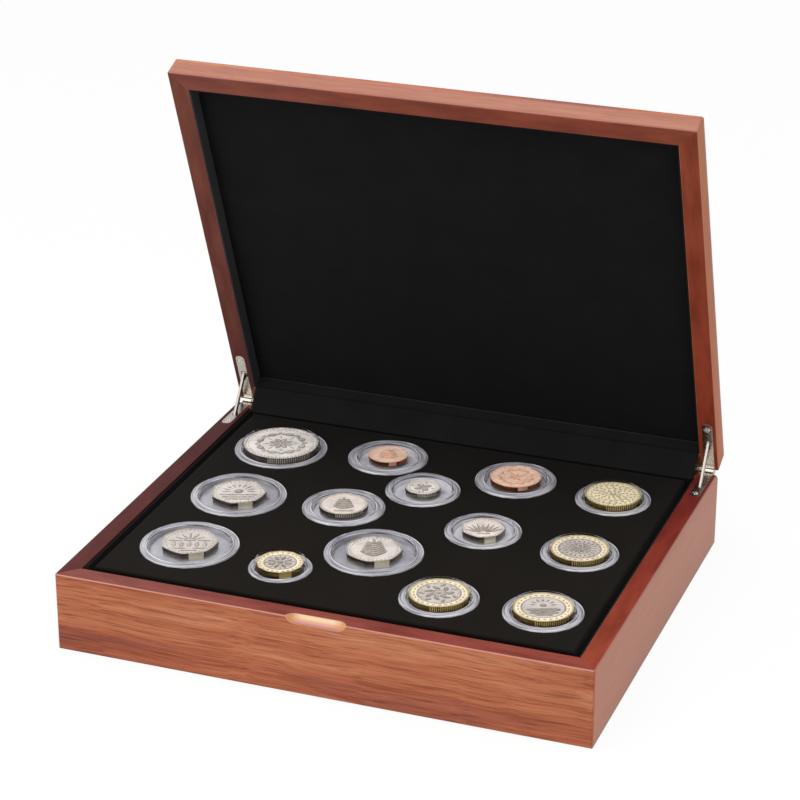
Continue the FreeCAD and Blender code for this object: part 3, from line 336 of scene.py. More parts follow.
# tones of the painted highlight on the boards' rounded edges
EDGE_HIGHLIGHT_PINK = "#DDA595"
EDGE_HIGHLIGHT_HONEY = "#E6A87E"
BOARDS = [
    # board, turn, rim, pattern's place, figure, plain tone, coat,
    # painted edge highlight, and the rim's tone along an axis
    ("base_front_wall", (0, 0, 0), RIM_UP, (0.31, 0.02, 0.013), 1.0, CHERRY, 0.02,
     (0.6, EDGE_HIGHLIGHT_PINK), ("X", "#82463F", "#8E453B")),
    ("base_back_wall", (0, 0, 0), RIM_UP, (0.9, 0.4, 0.2), 1.0, CHERRY, 0.2,
     (0.2, EDGE_HIGHLIGHT_PINK), ("X", "#6A3532", "#8A3028")),
    ("base_left_wall", (0, 0, QUARTER), RIM_UP, (0.2, 0.7, 0.5), 0.6, CHERRY, 0.0,
     (0.0, EDGE_HIGHLIGHT_PINK), ("Y", "#5A2B28", "#4A2120")),
    # its rim darkens towards the back: a painted reflection of the dark lid
    ("base_right_wall", (0, 0, QUARTER), RIM_UP, (0.4, 0.2, 0.9), 0.2, CHERRY, 0.15,
     (0.4, EDGE_HIGHLIGHT_PINK), ("Y", "#98452F", "#762020")),
    ("lid_front_rail", (LID_ANGLE, 0, 0), RIM_OPEN, (0.5, 0.1, 0.8), 0.4, "#9C7163", 0.12,
     (0.3, EDGE_HIGHLIGHT_PINK), ("X", "#7A3A2C", "#84402C")),
    ("lid_back_rail", (LID_ANGLE, 0, 0), RIM_OPEN, (0.7, 0.3, 0.2), 0.7, CHERRY, 0.2,
     (0.2, EDGE_HIGHLIGHT_PINK), ("X", "#6A3532", "#80422C")),
    ("lid_left_rail", (LID_ANGLE, 0, QUARTER), RIM_OPEN, (0.6, 0.3, 0.1), 0.6, CHERRY, 0.0,
     (0.25, EDGE_HIGHLIGHT_PINK), ("Z", "#62332E", "#774538")),
    ("lid_right_rail", (LID_ANGLE, 0, QUARTER), RIM_OPEN, (0.3, 0.9, 0.4), 0.3, "#C47650", 0.0,
     (0.6, EDGE_HIGHLIGHT_HONEY), ("Z", "#8E3C28", "#86422E")),
    ("lid_panel", (LID_ANGLE, 0, 0), RIM_OPEN, (0.1, 0.6, 0.35), 1.0, CHERRY, 0.2,
     (0.2, EDGE_HIGHLIGHT_PINK), ("X", "#77402F", "#80422C")),
]
for node, *settings in BOARDS:
    dress(veneer("veneer_" + node, node, *settings, notch=node == "base_front_wall"), node)

# %% [markdown]
# ## Velvet, flock and baize
# Short black pile drinks nearly all light. What tells it from paint is a faint sheen at grazing angles and
# small uneven patches where the pile leans another way. The tray's flock is a little warmer than the lid's
# velvet.

# %% Pile fabrics
def pile(name, dark, light, patch_mm, sheen):
    """Short dense pile: patches of leaning pile, a fine grain of fibres, and sheen."""
    material, tree, shader = new_material(name, Roughness=0.95, Sheen_Weight=sheen, Sheen_Roughness=0.4)
    shader.inputs["Specular IOR Level"].default_value = 0.12
    place = add_node(tree, "TexCoord").outputs["Object"]
    lean = {"Vector": place, "Scale": 1 / (patch_mm * MM), "Detail": 4, "Roughness": 0.55}
    patches = add_node(tree, "TexNoise", None, lean).outputs["Fac"]
    # fibres are finer than a pixel, and drawn at 0.5 mm so that the grain shows
    fine = {"Vector": place, "Scale": 1 / (0.5 * MM), "Detail": 2}
    fibres = add_node(tree, "TexNoise", None, fine).outputs["Fac"]
    grain = add_node(tree, "Mix", {"data_type": "FLOAT"}, {0: 0.35, 2: patches, 3: fibres})
    tone = set_stops(add_node(tree, "ValToRGB", None, {"Fac": grain.outputs[0]}), [(0.3, dark), (0.7, light)])
    tree.links.new(tone, shader.inputs["Base Color"])
    bump = add_node(tree, "Bump", None, {"Height": fibres, "Strength": 0.25, "Distance": 0.2 * MM})
    tree.links.new(bump.outputs[0], shader.inputs["Normal"])
    return material


velvet = pile("black_velvet", "#0B0B0C", "#121213", 18, 0.06)
lifted_velvet = pile("black_velvet_on_card", "#111111", "#191919", 18, 0.08)
# a paler copy of the velvet: painted light for the lid lining's lit left strip
lit_strip_velvet = pile("black_velvet_painted_lit", "#2B2C2C", "#363737", 18, 0.08)
flock = pile("black_flock", "#0D0A06", "#130E0A", 26, 0.03)
baize = pile("black_baize", "#131211", "#1D1B19", 6, 0.1)
board = pile("stained_fibreboard", "#15110E", "#241D18", 3, 0.0)
dress(flock, "tray_board")
dress(board, "base_floor", "tray_rests")

# %% [markdown]
# ## Hinge metals
# The hinges are nickel-plated steel. Screws and rivets are polished bright, the stay arms are rubbed dull
# where they slide, the leaves are satin, and the pins are brass. The gaps between the knuckles' bands are
# painted nearly black as shade.

# %% Hinge metals
def plated(name, code, low, high):
    """A plated metal with faint polishing lines. Its roughness wanders between low and high."""
    material, tree, shader = new_material(name, Base_Color=linear(code), Metallic=1.0)
    place = add_node(tree, "TexCoord")
    lines = add_node(tree, "Mapping", None, {"Vector": place.outputs["Object"], "Scale": (2500, 400, 400)})
    rub = add_node(tree, "TexNoise", None, {"Vector": lines.outputs[0], "Scale": 1.0, "Detail": 2})
    gloss = add_node(tree, "MapRange", None, {"Value": rub.outputs["Fac"], "To Min": low, "To Max": high})
    tree.links.new(gloss.outputs[0], shader.inputs["Roughness"])
    # pressed plates have edges rounded to about 0.35 mm, which catch thin bright lines
    soft_edge = add_node(tree, "Bevel", {"samples": 6}, {"Radius": 0.35 * MM})
    tree.links.new(soft_edge.outputs[0], shader.inputs["Normal"])
    return material


nickel = plated("bright_nickel_plate", "#D6D1C9", 0.1, 0.26)
arm_nickel = plated("rubbed_nickel_plate", "#A29C95", 0.32, 0.46)
satin_nickel = plated("satin_nickel_plate", "#B4ADA3", 0.18, 0.34)
rolled_nickel = plated("rolled_nickel_plate", "#E4DED2", 0.42, 0.55)
brass = plated("brass_pin", "#B8A888", 0.35, 0.5)
# near-black painted shade for the gaps between the knuckles' bands
painted_gap_shade = new_material("gap_painted_shade", Base_Color=linear("#1A1714"), Roughness=0.5)[0]
SIDES = ("left_", "right_")
dress(nickel, "stay_rivets")
dress(arm_nickel, *[side + "stay_arm" for side in SIDES])
dress(satin_nickel, *[side + part for side in SIDES for part in ("base_leaf", "lid_leaf")])
dress(brass, "hinge_pins")

# %% [markdown]
# ## Working by hand
# The pieces below start as a primitive of the right size in the right place and are shaped in edit mode. An
# operator works on all that is selected, so each step first clears the selection and then picks what it
# needs.

# %% Hand tools
def clear_selection():
    """Leaves edit mode and deselects everything."""
    if bpy.context.object and bpy.context.object.mode != "OBJECT":
        bpy.ops.object.mode_set(mode="OBJECT")
    bpy.ops.object.select_all(action="DESELECT")


def apply_place():
    """Moves the active piece's location, turn and scale into its mesh."""
    bpy.ops.object.transform_apply(location=True, rotation=True, scale=True)


def edit_all():
    """Opens the active piece in edit mode with all of it selected."""
    bpy.ops.object.mode_set(mode="EDIT")
    bpy.ops.mesh.select_all(action="SELECT")


def pick(item, kind, test):
    """Selects the faces, edges or vertices of a mesh in edit mode that pass the test."""
    bpy.ops.mesh.select_mode(type=kind)
    bpy.ops.mesh.select_all(action="DESELECT")
    mesh = bmesh.from_edit_mesh(item.data)
    for part in {"FACE": mesh.faces, "EDGE": mesh.edges, "VERT": mesh.verts}[kind]:
        part.select_set(test(part))
    bmesh.update_edit_mesh(item.data)


def settle(item, name):
    """Back in object mode: the piece's place goes into its mesh, and it gets its name."""
    bpy.ops.object.mode_set(mode="OBJECT")
    clear_selection()
    item.select_set(True)
    bpy.context.view_layer.objects.active = item
    apply_place()
    item.name = name
    item.data.name = name
    return item


def recalculate():
    """Merges the active piece's doubled corners and points its normals outwards."""
    edit_all()
    bpy.ops.mesh.remove_doubles(threshold=0.0005 * MM)
    bpy.ops.mesh.normals_make_consistent(inside=False)
    bpy.ops.object.mode_set(mode="OBJECT")


def join(parts):
    """Joins pieces into the first one."""
    clear_selection()
    for part in parts:
        part.select_set(True)
    bpy.context.view_layer.objects.active = parts[0]
    if len(parts) > 1:
        bpy.ops.object.join()
    return parts[0]


def apply_modifiers(item, *steps):
    """Gives the active piece modifiers with their values, and applies them in order."""
    for kind, values in steps:
        modifier = item.modifiers.new(kind.lower(), kind)
        for key, value in values.items():
            setattr(modifier, key, value)
        bpy.ops.object.modifier_apply(modifier=modifier.name)


def thicken(thickness):
    """Extrudes the selected outline upwards into a solid disc."""
    bpy.ops.mesh.extrude_region_move(TRANSFORM_OT_translate={"value": (0, 0, thickness)})
    bpy.ops.mesh.select_all(action="SELECT")
    bpy.ops.mesh.normals_make_consistent(inside=False)


def finish_piece(item, material, body, slot, *replaced):
    """Finish, ride and stand for the solid pieces it takes the place of. None keeps its own finishes."""
    if material:
        item.data.materials.clear()
        item.data.materials.append(material)
    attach(item, body)
    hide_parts(*replaced)
    print(item.name, len(item.data.polygons), "faces")
    return item


AXIS = Vector((0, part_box("hinge_pins")[0].y + 1.0 * MM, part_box("hinge_pins")[0].z + 1.0 * MM))
OPEN_LID = Matrix.Translation(AXIS) @ Matrix.Rotation(-LID_ANGLE, 4, "X") @ Matrix.Translation(-AXIS)
print("hinge axis at", [round(v / MM, 2) for v in AXIS])

# %% [markdown]
# ## Lining of the base
# A strip of velvet-covered card stands against the inside of the four walls. A box without lid and floor,
# given its thickness inwards, makes the strip, and a small bevel rounds its upper edge as the covered card
# is round.

# %% Base lining
def card_ring(name, centre, size, thickness, soft_edge):
    """An open box of card: walls only, with the thickness inwards and rounded edges."""
    clear_selection()
    bpy.ops.mesh.primitive_cube_add(size=1, location=centre)
    item = bpy.context.object
    item.scale = size
    apply_place()
    bpy.ops.object.mode_set(mode="EDIT")
    pick(item, "FACE", lambda face: abs(face.normal.z) > 0.5)
    bpy.ops.mesh.delete(type="FACE")
    bpy.ops.mesh.select_all(action="SELECT")
    bpy.ops.mesh.normals_make_consistent(inside=False)
    bpy.ops.object.mode_set(mode="OBJECT")
    apply_modifiers(
        item,
        ("SOLIDIFY", {"thickness": thickness, "offset": -1.0, "use_even_offset": True}),
        ("BEVEL", {"width": soft_edge, "segments": 3, "limit_method": "ANGLE"}),
    )
    return settle(item, name)


low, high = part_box("base_lining")
base_ring = card_ring("base_velvet_lining", (low + high) / 2, high - low, 1.2 * MM, 0.4 * MM)
finish_piece(base_ring, velvet, "base", "velvet", "base_lining")

# %% [markdown]
# ## Lid lining and pad
# The lid holds a thin velvet pad in a velvet lining. They are made shut, where everything is square, and
# then turned open about the hinge axis together with the solid lid. The pad's face is raised a little and
# rounded.

# %% Lid lining and pad
half_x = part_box("lid_lining")[1].x
half_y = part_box("base_lining")[1].y
RIM = 40.2 * MM
PAD_BOTTOM = 48.1 * MM
PAD_TOP = 49.2 * MM
lining_size = Vector((2 * half_x, 2 * half_y, PAD_BOTTOM - RIM - 0.3 * MM))
lining_centre = (0, 0, (PAD_BOTTOM + RIM + 0.3 * MM) / 2)
lid_ring = card_ring("lid_velvet_lining", lining_centre, lining_size, 0.8 * MM, 0.25 * MM)
lid_ring.matrix_world = OPEN_LID
settle(lid_ring, "lid_velvet_lining")
lid_ring.data.materials.append(velvet)
lid_ring.data.materials.append(lit_strip_velvet)
for face in lid_ring.data.polygons:
    # the left strip faces the light, so it gets a paler velvet as painted light
    face.material_index = 1 if face.center.x < 2 * MM - half_x else 0
finish_piece(lid_ring, None, "lid", "velvet", "lid_lining")

clear_selection()
bpy.ops.mesh.primitive_cube_add(size=1, location=(0, 0, (PAD_BOTTOM + PAD_TOP) / 2))
lid_cushion = bpy.context.object
lid_cushion.scale = (2 * half_x, 2 * half_y, PAD_TOP - PAD_BOTTOM)
apply_place()
bpy.ops.object.mode_set(mode="EDIT")
pick(lid_cushion, "FACE", lambda face: face.normal.z < -0.5)
bpy.ops.mesh.inset(thickness=0.9 * MM)
bpy.ops.mesh.inset(thickness=1.6 * MM, depth=0.35 * MM)
bpy.ops.mesh.inset(thickness=4.0 * MM, depth=0.2 * MM)
bpy.ops.mesh.inset(thickness=30 * MM, depth=0.15 * MM)
bpy.ops.object.mode_set(mode="OBJECT")
apply_modifiers(lid_cushion, ("BEVEL", {"width": 0.3 * MM, "segments": 2}))
lid_cushion.matrix_world = OPEN_LID
settle(lid_cushion, "lid_velvet_pad")
bpy.ops.object.shade_smooth_by_angle(angle=math.radians(40))
finish_piece(lid_cushion, velvet, "lid", "velvet", "lid_pad")

# %% [markdown]
# ## Cloth flap
# A strip of cloth hides the gap between base and lid. It lies on the back wall's rim, spans the gap as a
# nearly flat strip and is glued over the lid's back rail.

# %% Cloth flap
flap_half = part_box("base_flap")[1].x
SHUT_LID_ROUTE = [(99.2, 40.75), (98.95, 41.6), (98.85, 44.0), (98.85, 47.8)]
on_lid = [OPEN_LID @ Vector((0, y * MM, z * MM)) for y, z in SHUT_LID_ROUTE]
on_base = [Vector((0, y * MM, z * MM)) for y, z in [(98.1, 38.9), (98.5, 39.55), (99.6, 39.75)]]
route = on_base + on_lid
clear_selection()
bpy.ops.mesh.primitive_plane_add(size=1)
cloth_flap = bpy.context.object
bpy.ops.object.mode_set(mode="EDIT")
pick(cloth_flap, "VERT", lambda vertex: vertex.co.y > 0)
bpy.ops.mesh.delete(type="VERT")
bpy.ops.mesh.select_all(action="SELECT")
bpy.ops.transform.resize(value=(2 * flap_half, 1, 1), center_override=(0, 0, 0))
bpy.ops.transform.translate(value=route[0] + Vector((0, 0.5, 0)))
for start, end in zip(route, route[1:]):
    bpy.ops.mesh.extrude_edges_move(TRANSFORM_OT_translate={"value": end - start})
pick(cloth_flap, "EDGE", lambda edge: abs(edge.verts[0].co.x - edge.verts[1].co.x) > flap_half)
bpy.ops.mesh.subdivide(number_cuts=47)
bpy.ops.object.mode_set(mode="OBJECT")
recalculate()
apply_modifiers(
    cloth_flap,
    ("SUBSURF", {"levels": 2, "render_levels": 2}),
    ("SOLIDIFY", {"thickness": 0.45 * MM, "offset": 0.0}),
)
settle(cloth_flap, "velvet_hinge_flap")
bpy.ops.object.shade_smooth()
cloth_flap.data.materials.append(lifted_velvet)
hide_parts("base_flap", "lid_flap")
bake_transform(cloth_flap)

# %% [markdown]
# ## Baize under the base
# A thin cloth is glued under the floor so that the case doesn't scratch the table. It only shows from
# below.

# %% Baize
low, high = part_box("base_baize")
clear_selection()
cloth_middle = (0, 0, high.z - 0.3 * MM)
bpy.ops.mesh.primitive_grid_add(x_subdivisions=24, y_subdivisions=20, size=1, location=cloth_middle)
under_cloth = bpy.context.object
under_cloth.scale = (high.x - low.x, high.y - low.y, 1)
apply_place()
apply_modifiers(under_cloth, ("SOLIDIFY", {"thickness": 0.6 * MM, "offset": 0.0}))
settle(under_cloth, "baize_under_base")
finish_piece(under_cloth, baize, "base", "baize", "base_baize")

# %% [markdown]
# ## Capsules
# Each coin lies in a two-part plastic capsule. The lower half is a thick disc with fine ridges and grooves
# round its edge: its moulded surface scatters light, so it looks pale grey and not black like the flock
# under it. Its ridges carry painted highlights, and its grooves carry painted shade and reflection. Its
# middle is sunk round a seat that carries the coin, with a painted reflection of the coin's edge. The upper
# half is a thin clear cup over the coin. Both halves are round, so each is drawn as rings, extruded one after
# the other.

# %% Plastics
def moulded(name, dark, light, roughness):
    """Glossy moulded plastic with fine arcs round the middle, where the plastic flowed into the mould. The
    attribute flow holds the bearing as a point on a small circle, and the distance from the middle."""
    material, tree, shader = new_material(name, Roughness=roughness, IOR=1.5)
    place = add_node(tree, "Attribute", {"attribute_name": "flow"})
    arcs = add_node(tree, "TexNoise", None, {"Vector": place.outputs["Vector"], "Scale": 1.0, "Detail": 3})
    ramp = add_node(tree, "ValToRGB", None, {"Fac": arcs.outputs["Fac"]})
    tree.links.new(set_stops(ramp, [(0.38, dark), (0.62, light)]), shader.inputs["Base Color"])
    return material


milky = moulded("milky_polystyrene", "#807E85", "#BEBCC2", 0.1)
inner_milky = moulded("inner_polystyrene", "#86848A", "#AAA8AE", 0.08)
pale_milky = moulded("pale_polystyrene", "#89878E", "#CAC8CE", 0.1)
inner_pale = moulded("inner_pale_polystyrene", "#B6B4BA", "#DAD8DE", 0.08)
# dark lines painted into the grooves as shade and as the reflection of the dark tray and coin, and bright
# lines painted on the ridges as highlights
shaded = moulded("groove_painted_shade_polystyrene", "#47464B", "#9A999F", 0.12)
ridge_highlight = moulded("ridge_painted_highlight_polystyrene", "#7C7B81", "#F2F0F6", 0.08)

# the seat has a painted reflection of the coin's edge: dark at its top, and fading to the plastic's grey at
# its foot
COIN_SEAT = 40.0 * MM
SEAT_SINK = 2.4 * MM


def seat_plastic(name, dark, light):
    """Plastic with a painted reflection of the coin's edge, paler from the seat's top to its foot."""
    material, tree, shader = new_material(name, Roughness=0.2)
    place = add_node(tree, "TexCoord")
    split = add_node(tree, "SeparateXYZ", None, {0: place.outputs["Object"]})
    reach = {"Value": split.outputs["Z"], "From Min": COIN_SEAT - SEAT_SINK, "From Max": COIN_SEAT}
    up = add_node(tree, "MapRange", None, reach)
    tone = set_stops(add_node(tree, "ValToRGB", None, {"Fac": up.outputs[0]}), [(0.1, light), (0.6, dark)])
    tree.links.new(tone, shader.inputs["Base Color"])
    return material


seat_reflection = seat_plastic("seat_painted_reflection", "#4A4640", "#8A867F")
# a paler copy: the painted reflection of a facet's glint
seat_glint_reflection = seat_plastic("seat_painted_glint", "#BDB79C", "#A3A19C")

# a thin clear cup: the low index keeps its faces from veiling the coin
clear, tree, shader = new_material(
    "clear_polystyrene", Base_Color=linear("#FDFDFE"), IOR=1.04, Transmission_Weight=1.0
)
place = add_node(tree, "TexCoord").outputs["Object"]
haze = add_node(tree, "TexNoise", None, {"Vector": place, "Scale": 1 / (8 * MM), "Detail": 2})
gloss = add_node(tree, "MapRange", None, {"Value": haze.outputs["Fac"], "To Min": 0.0, "To Max": 0.02})
tree.links.new(gloss.outputs[0], shader.inputs["Roughness"])


# %% Turning a round piece from rings
def turned(name, centre, rings, segments=96, closed=False):
    """A round piece: each ring is (radius, height). A closed one joins its last ring to its first."""
    clear_selection()
    radius, height = rings[0]
    bpy.ops.mesh.primitive_circle_add(
        vertices=segments, radius=radius, fill_type="NOTHING", location=(*centre, height)
    )
    item = bpy.context.object
    bpy.ops.object.mode_set(mode="EDIT")
    bpy.ops.mesh.select_mode(type="EDGE")
    bpy.ops.mesh.select_all(action="SELECT")
    for wide, tall in rings[1:]:
        bpy.ops.mesh.extrude_edges_move(TRANSFORM_OT_translate={"value": (0, 0, tall - height)})
        if wide != radius:
            share = wide / radius
            bpy.ops.transform.resize(value=(share, share, 1), center_override=(*centre, tall))
        radius, height = wide, tall
    if not closed:
        bpy.ops.mesh.edge_face_add()
    bpy.ops.mesh.select_all(action="DESELECT")
    bpy.ops.mesh.select_non_manifold()
    if closed:
        bpy.ops.mesh.bridge_edge_loops()
    else:
        bpy.ops.mesh.edge_face_add()
    bpy.ops.object.mode_set(mode="OBJECT")
    settle(item, name)
    recalculate()
    bpy.ops.object.shade_smooth_by_angle(angle=math.radians(35))
    return item


# %% [markdown]
# ## Screws and knuckle barrels
# The round hinge parts are made upright at the origin and then set in place. A screw's cross is its head's
# faces along two lines, pushed in. The knuckles are rolled plate, and their flutes give thin bright bands,
# with the dark bands between them painted on as shade.

# %% Screws and sleeves
def screw(name, place):
    """A countersunk screw with a low domed head and a cross in it."""
    profile = [(0.3, -6.3), (0.8, -5.8), (0.8, -0.9), (1.65, -0.08)]
    profile += [(1.6, 0.04), (1.3, 0.16), (0.8, 0.26), (0.1, 0.3)]
    item = turned(name, (0, 0), [(radius * MM, height * MM) for radius, height in profile], segments=24)
    bpy.ops.object.mode_set(mode="EDIT")

    def on_cross(face):
        """Whether a face of the head lies on one of the two lines."""
        middle = face.calc_center_median()
        along = 2 * math.atan2(middle.y, middle.x)
        return middle.z > 0.05 * MM and abs(math.sin(along)) < 0.3 and middle.xy.length < 1.2 * MM

    pick(item, "FACE", on_cross)
    bpy.ops.mesh.extrude_region_move(TRANSFORM_OT_translate={"value": (0, 0, -0.35 * MM)})
    bpy.ops.object.mode_set(mode="OBJECT")
    item.matrix_world = place
    return settle(item, name)


BARREL_CORNERS = 48
FLUTE_SHARE = 0.945  # the radius between two bands


def sleeve(name, place, length, bands, metal, radius=2.57):
    """A short barrel of bands: corners of a circle are pulled in between them before it is extruded."""
    clear_selection()
    each = BARREL_CORNERS // bands
    bpy.ops.mesh.primitive_circle_add(vertices=BARREL_CORNERS, radius=radius * MM, fill_type="NGON")
    item = bpy.context.object
    bpy.ops.object.mode_set(mode="EDIT")
    pick(item, "VERT", lambda vertex: vertex.index % each == 0)
    bpy.ops.transform.resize(value=(FLUTE_SHARE, FLUTE_SHARE, 1), center_override=(0, 0, 0))
    bpy.ops.mesh.select_all(action="SELECT")
    thicken(length)
    bpy.ops.object.mode_set(mode="OBJECT")
    item.data.materials.append(metal)
    item.data.materials.append(painted_gap_shade)
    # the flutes' faces get the near-black finish: painted shade in the gaps between the bands
    for face in item.data.polygons:
        # the two faces of each gap lean away from the middle of the barrel
        sides = [item.data.vertices[k].co.xy.length for k in face.vertices]
        if abs(face.normal.z) < 0.5 and min(sides) < 0.97 * radius * MM:
            face.material_index = 1
    item.matrix_world = place
    return settle(item, name)


low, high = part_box("base_leaf_screws")
screw_x, screw_y = high.x - 1.7 * MM, (low.y + high.y) / 2
turn_over = Matrix.Rotation(math.pi, 4, "X")
base_screws, lid_screws = [], []
for side in (1, -1):
    spot_on_base = Matrix.Translation((side * screw_x, screw_y, high.z))
    spot_on_lid = OPEN_LID @ Matrix.Translation((side * screw_x, screw_y, RIM + 0.25 * MM)) @ turn_over
    base_screws.append(screw("base_leaf_screw_heads", spot_on_base))
    lid_screws.append(screw("lid_leaf_screw_heads", spot_on_lid))
finish_piece(join(base_screws), nickel, "base", "nickel", "base_leaf_screws")
finish_piece(join(lid_screws), nickel, "lid", "nickel", "lid_leaf_screws")

knuckle_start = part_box("right_base_leaf")[0].x
knuckle_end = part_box("right_lid_leaf")[1].x
lie_down = Matrix.Rotation(QUARTER, 4, "Y")
INNER_KNUCKLE = 2.6 * MM
rim_side = OPEN_LID.to_3x3() @ Vector((0, 0, 1))
base_sleeves, lid_sleeves = [], []
for side in (1, -1):
    # one barrel on the base leaf's knuckle of 2.7 mm, and one on the lid leaf's
    for barrels, name, start, length, bands, metal in (
        (base_sleeves, "base_knuckle_barrels", 0.05, 2.6, 6, brass),
        (lid_sleeves, "lid_knuckle_barrels", 3.05, 5.0, 8, rolled_nickel),
    ):
        left_end = knuckle_start + start * MM if side > 0 else -knuckle_start - (start + length) * MM
        place = Matrix.Translation((left_end, AXIS.y, AXIS.z)) @ lie_down
        barrels.append(sleeve(name, place, length * MM, bands, metal))
    # the lid's inner knuckle is half a barrel, as its other half would lie in the lid's rail
    inner = Matrix.Translation((side * (knuckle_start - 1.5 * MM), AXIS.y, AXIS.z)) @ lie_down
    place = inner @ Matrix.Translation((0, 0, -INNER_KNUCKLE / 2))
    half = sleeve("lid_knuckle_barrels", place, INNER_KNUCKLE, 8, brass, 2.9)
    edit_all()
    cut_at = AXIS - rim_side * 0.1 * MM
    bpy.ops.mesh.bisect(plane_co=cut_at, plane_no=rim_side, use_fill=True, clear_outer=True)
    lid_sleeves.append(settle(half, "lid_knuckle_barrels"))
finish_piece(join(base_sleeves), None, "base", "nickel")
finish_piece(join(lid_sleeves), None, "lid", "nickel")
print("knuckles from", round(knuckle_start / MM, 2), "to", round(knuckle_end / MM, 2), "mm")

# %% [markdown]
# ## Outlines
# A seven-sided coin has the same width all round: each side is an arc about the opposite corner, so its
# outline is spun arc by arc from one corner. All other outlines are circles with as many corners as they
# need.

# %% Outlines
COIN_TURN = math.radians(-70)


def outline(centre, radius, height, sides, turn=0.0):
    """A flat face with the coin's outline, left open in edit mode and selected."""
    clear_selection()
    # seven bowed sides are 2 R cos(pi / 14) wide
    reach = radius / math.cos(math.pi / 14) if sides == 7 else radius
    bpy.ops.mesh.primitive_circle_add(
        vertices=sides, radius=reach, fill_type="NGON", location=(*centre, height), rotation=(0, 0, turn)
    )
    item = bpy.context.object
    apply_place()
    bpy.ops.object.mode_set(mode="EDIT")
    if sides == 7:
        corner = bmesh.from_edit_mesh(item.data).verts[:]
        corner = [vertex.co.copy() for vertex in corner]
        ahead = 1 if (corner[1] - corner[0]).cross(corner[2] - corner[1]).z > 0 else -1
        pick(item, "VERT", lambda vertex: (vertex.co - corner[0]).length > 0.1 * MM)
        bpy.ops.mesh.delete(type="VERT")
        bpy.ops.mesh.select_all(action="SELECT")
        for k in range(7):
            across = corner[(k + 4) % 7]
            bpy.ops.mesh.spin(steps=10, angle=-ahead * math.pi / 7, center=across, axis=(0, 0, 1))
        bpy.ops.mesh.select_all(action="SELECT")
        bpy.ops.mesh.remove_doubles(threshold=0.02 * MM)
        bpy.ops.mesh.edge_face_add()
    bpy.ops.mesh.select_all(action="SELECT")
    return item


# %% Capsule halves
COVER_SKIN = 0.3 * MM
# across a ridge or a groove: how far in and how high, in millimetres
RIDGE = ((0, 0.1), (0.1, 0.24), (0.24, 0.24), (0.34, 0.1))
GROOVE = ((0, 0.1), (0.12, -0.08), (0.24, 0.1))
# places of the plastics among a lower half's materials, after its outside's
SUNK, GROOVED, RIDGED = 1, 2, 3


def capsule_base(name, centre, edge, dome, plastics):
    """The lower half: a disc with fine ridges and grooves, a step for the cover and a sunk middle."""
    rings = [(edge - 0.4 * MM, -3.0), (edge, -2.6), (edge, -0.3)]
    rings += [(edge - 0.1 * MM, -0.1), (edge - 0.25 * MM, 0.06)]
    brim = (edge - dome) / MM
    ridges, grooves = (0.3, brim - 1.0), (0.85, brim - 1.4)
    for start in sorted(ridges + grooves):
        profile = RIDGE if start in ridges else GROOVE
        rings += [(edge - (start + across) * MM, tall) for across, tall in profile]
    rings += [(dome + 0.3 * MM, 0.1), (dome + 0.2 * MM, -0.28), (dome + 0.05 * MM, -0.28)]
    rings += [(dome - 0.05 * MM, -0.3), (dome - 0.4 * MM, -0.3), (dome - 0.55 * MM, -0.8)]
    rings.append((dome - 0.9 * MM, -SEAT_SINK / MM))
    item = turned(name, centre, [(radius, COIN_SEAT + height * MM) for radius, height in rings])
    # the grooves and the step at the dome's foot take painted dark lines of shade and reflection, and the
    # ridges take painted highlights
    for plastic in (*plastics, shaded, ridge_highlight):
        item.data.materials.append(plastic)
    for face in item.data.polygons:
        if face.center.z < COIN_SEAT - 2 * MM and face.normal.z < 0.5:
            continue
        # a ring's face is a narrow strip, so its middle's radius says which ring it is
        inset = (edge - (face.center.xy - Vector(centre)).length) / MM
        if inset > brim + 0.2:
            face.material_index = SUNK
        elif brim - 0.3 < inset or any(start < inset < start + GROOVE[-1][0] for start in grooves):
            face.material_index = GROOVED
        elif any(start < inset < start + RIDGE[-1][0] for start in ridges):
            face.material_index = RIDGED
    return item


def mark_flow(item, centre):
    """Stores on each point its bearing round the middle and its distance from it, for the plastic's arcs."""
    flow = item.data.attributes.new("flow", "FLOAT_VECTOR", "POINT")
    for vertex, entry in zip(item.data.vertices, flow.data):
        outward = vertex.co.xy - Vector(centre)
        bearing = outward.normalized() * 1.2
        entry.vector = (bearing.x, bearing.y, outward.length / (1.1 * MM))


def capsule_cover(name, centre, dome, top):
    """The upper half: a thin clear cup with rounded edges, drawn up its outside and back down its inside."""
    foot = COIN_SEAT - 0.28 * MM
    bow = 0.6 * MM
    inner_bow = bow - COVER_SKIN
    outside, inside = [(dome, foot)], [(dome - COVER_SKIN, foot)]
    for step in range(6):
        a = step * math.pi / 10
        across, up = 1 - math.cos(a), 1 - math.sin(a)
        outside.append((dome - bow * across, top - bow * up))
        inside.append((dome - COVER_SKIN - inner_bow * across, top - COVER_SKIN - inner_bow * up))
    outside += [(dome * 0.5, top), (dome * 0.01, top)]
    inside += [(dome * 0.5, top - COVER_SKIN), (dome * 0.01, top - COVER_SKIN)]
    return turned(name, centre, outside + inside[::-1], closed=True)


# where a coin's edge gets a painted highlight, in degrees from the front
FACET_GLINT, COPPER_GLINT, REED_GLINT = (20, 55), (22, 46), (0, 72)


def catches_light(outward, glint):
    """Whether a place on a coin's edge lies between the two bearings of a glint."""
    return glint[0] < math.degrees(math.atan2(outward.x, -outward.y)) < glint[1]


BRIM = {"big": 3.9, "mid": 5.0, "standard": 3.8, "small": 2.7}
FEWEST_ROUND = 20  # an outline with fewer corners has flat or bowed sides
CORE_SHARE = 0.7  # punches nearer the middle than this share of the radius lie on a two-metal coin's core
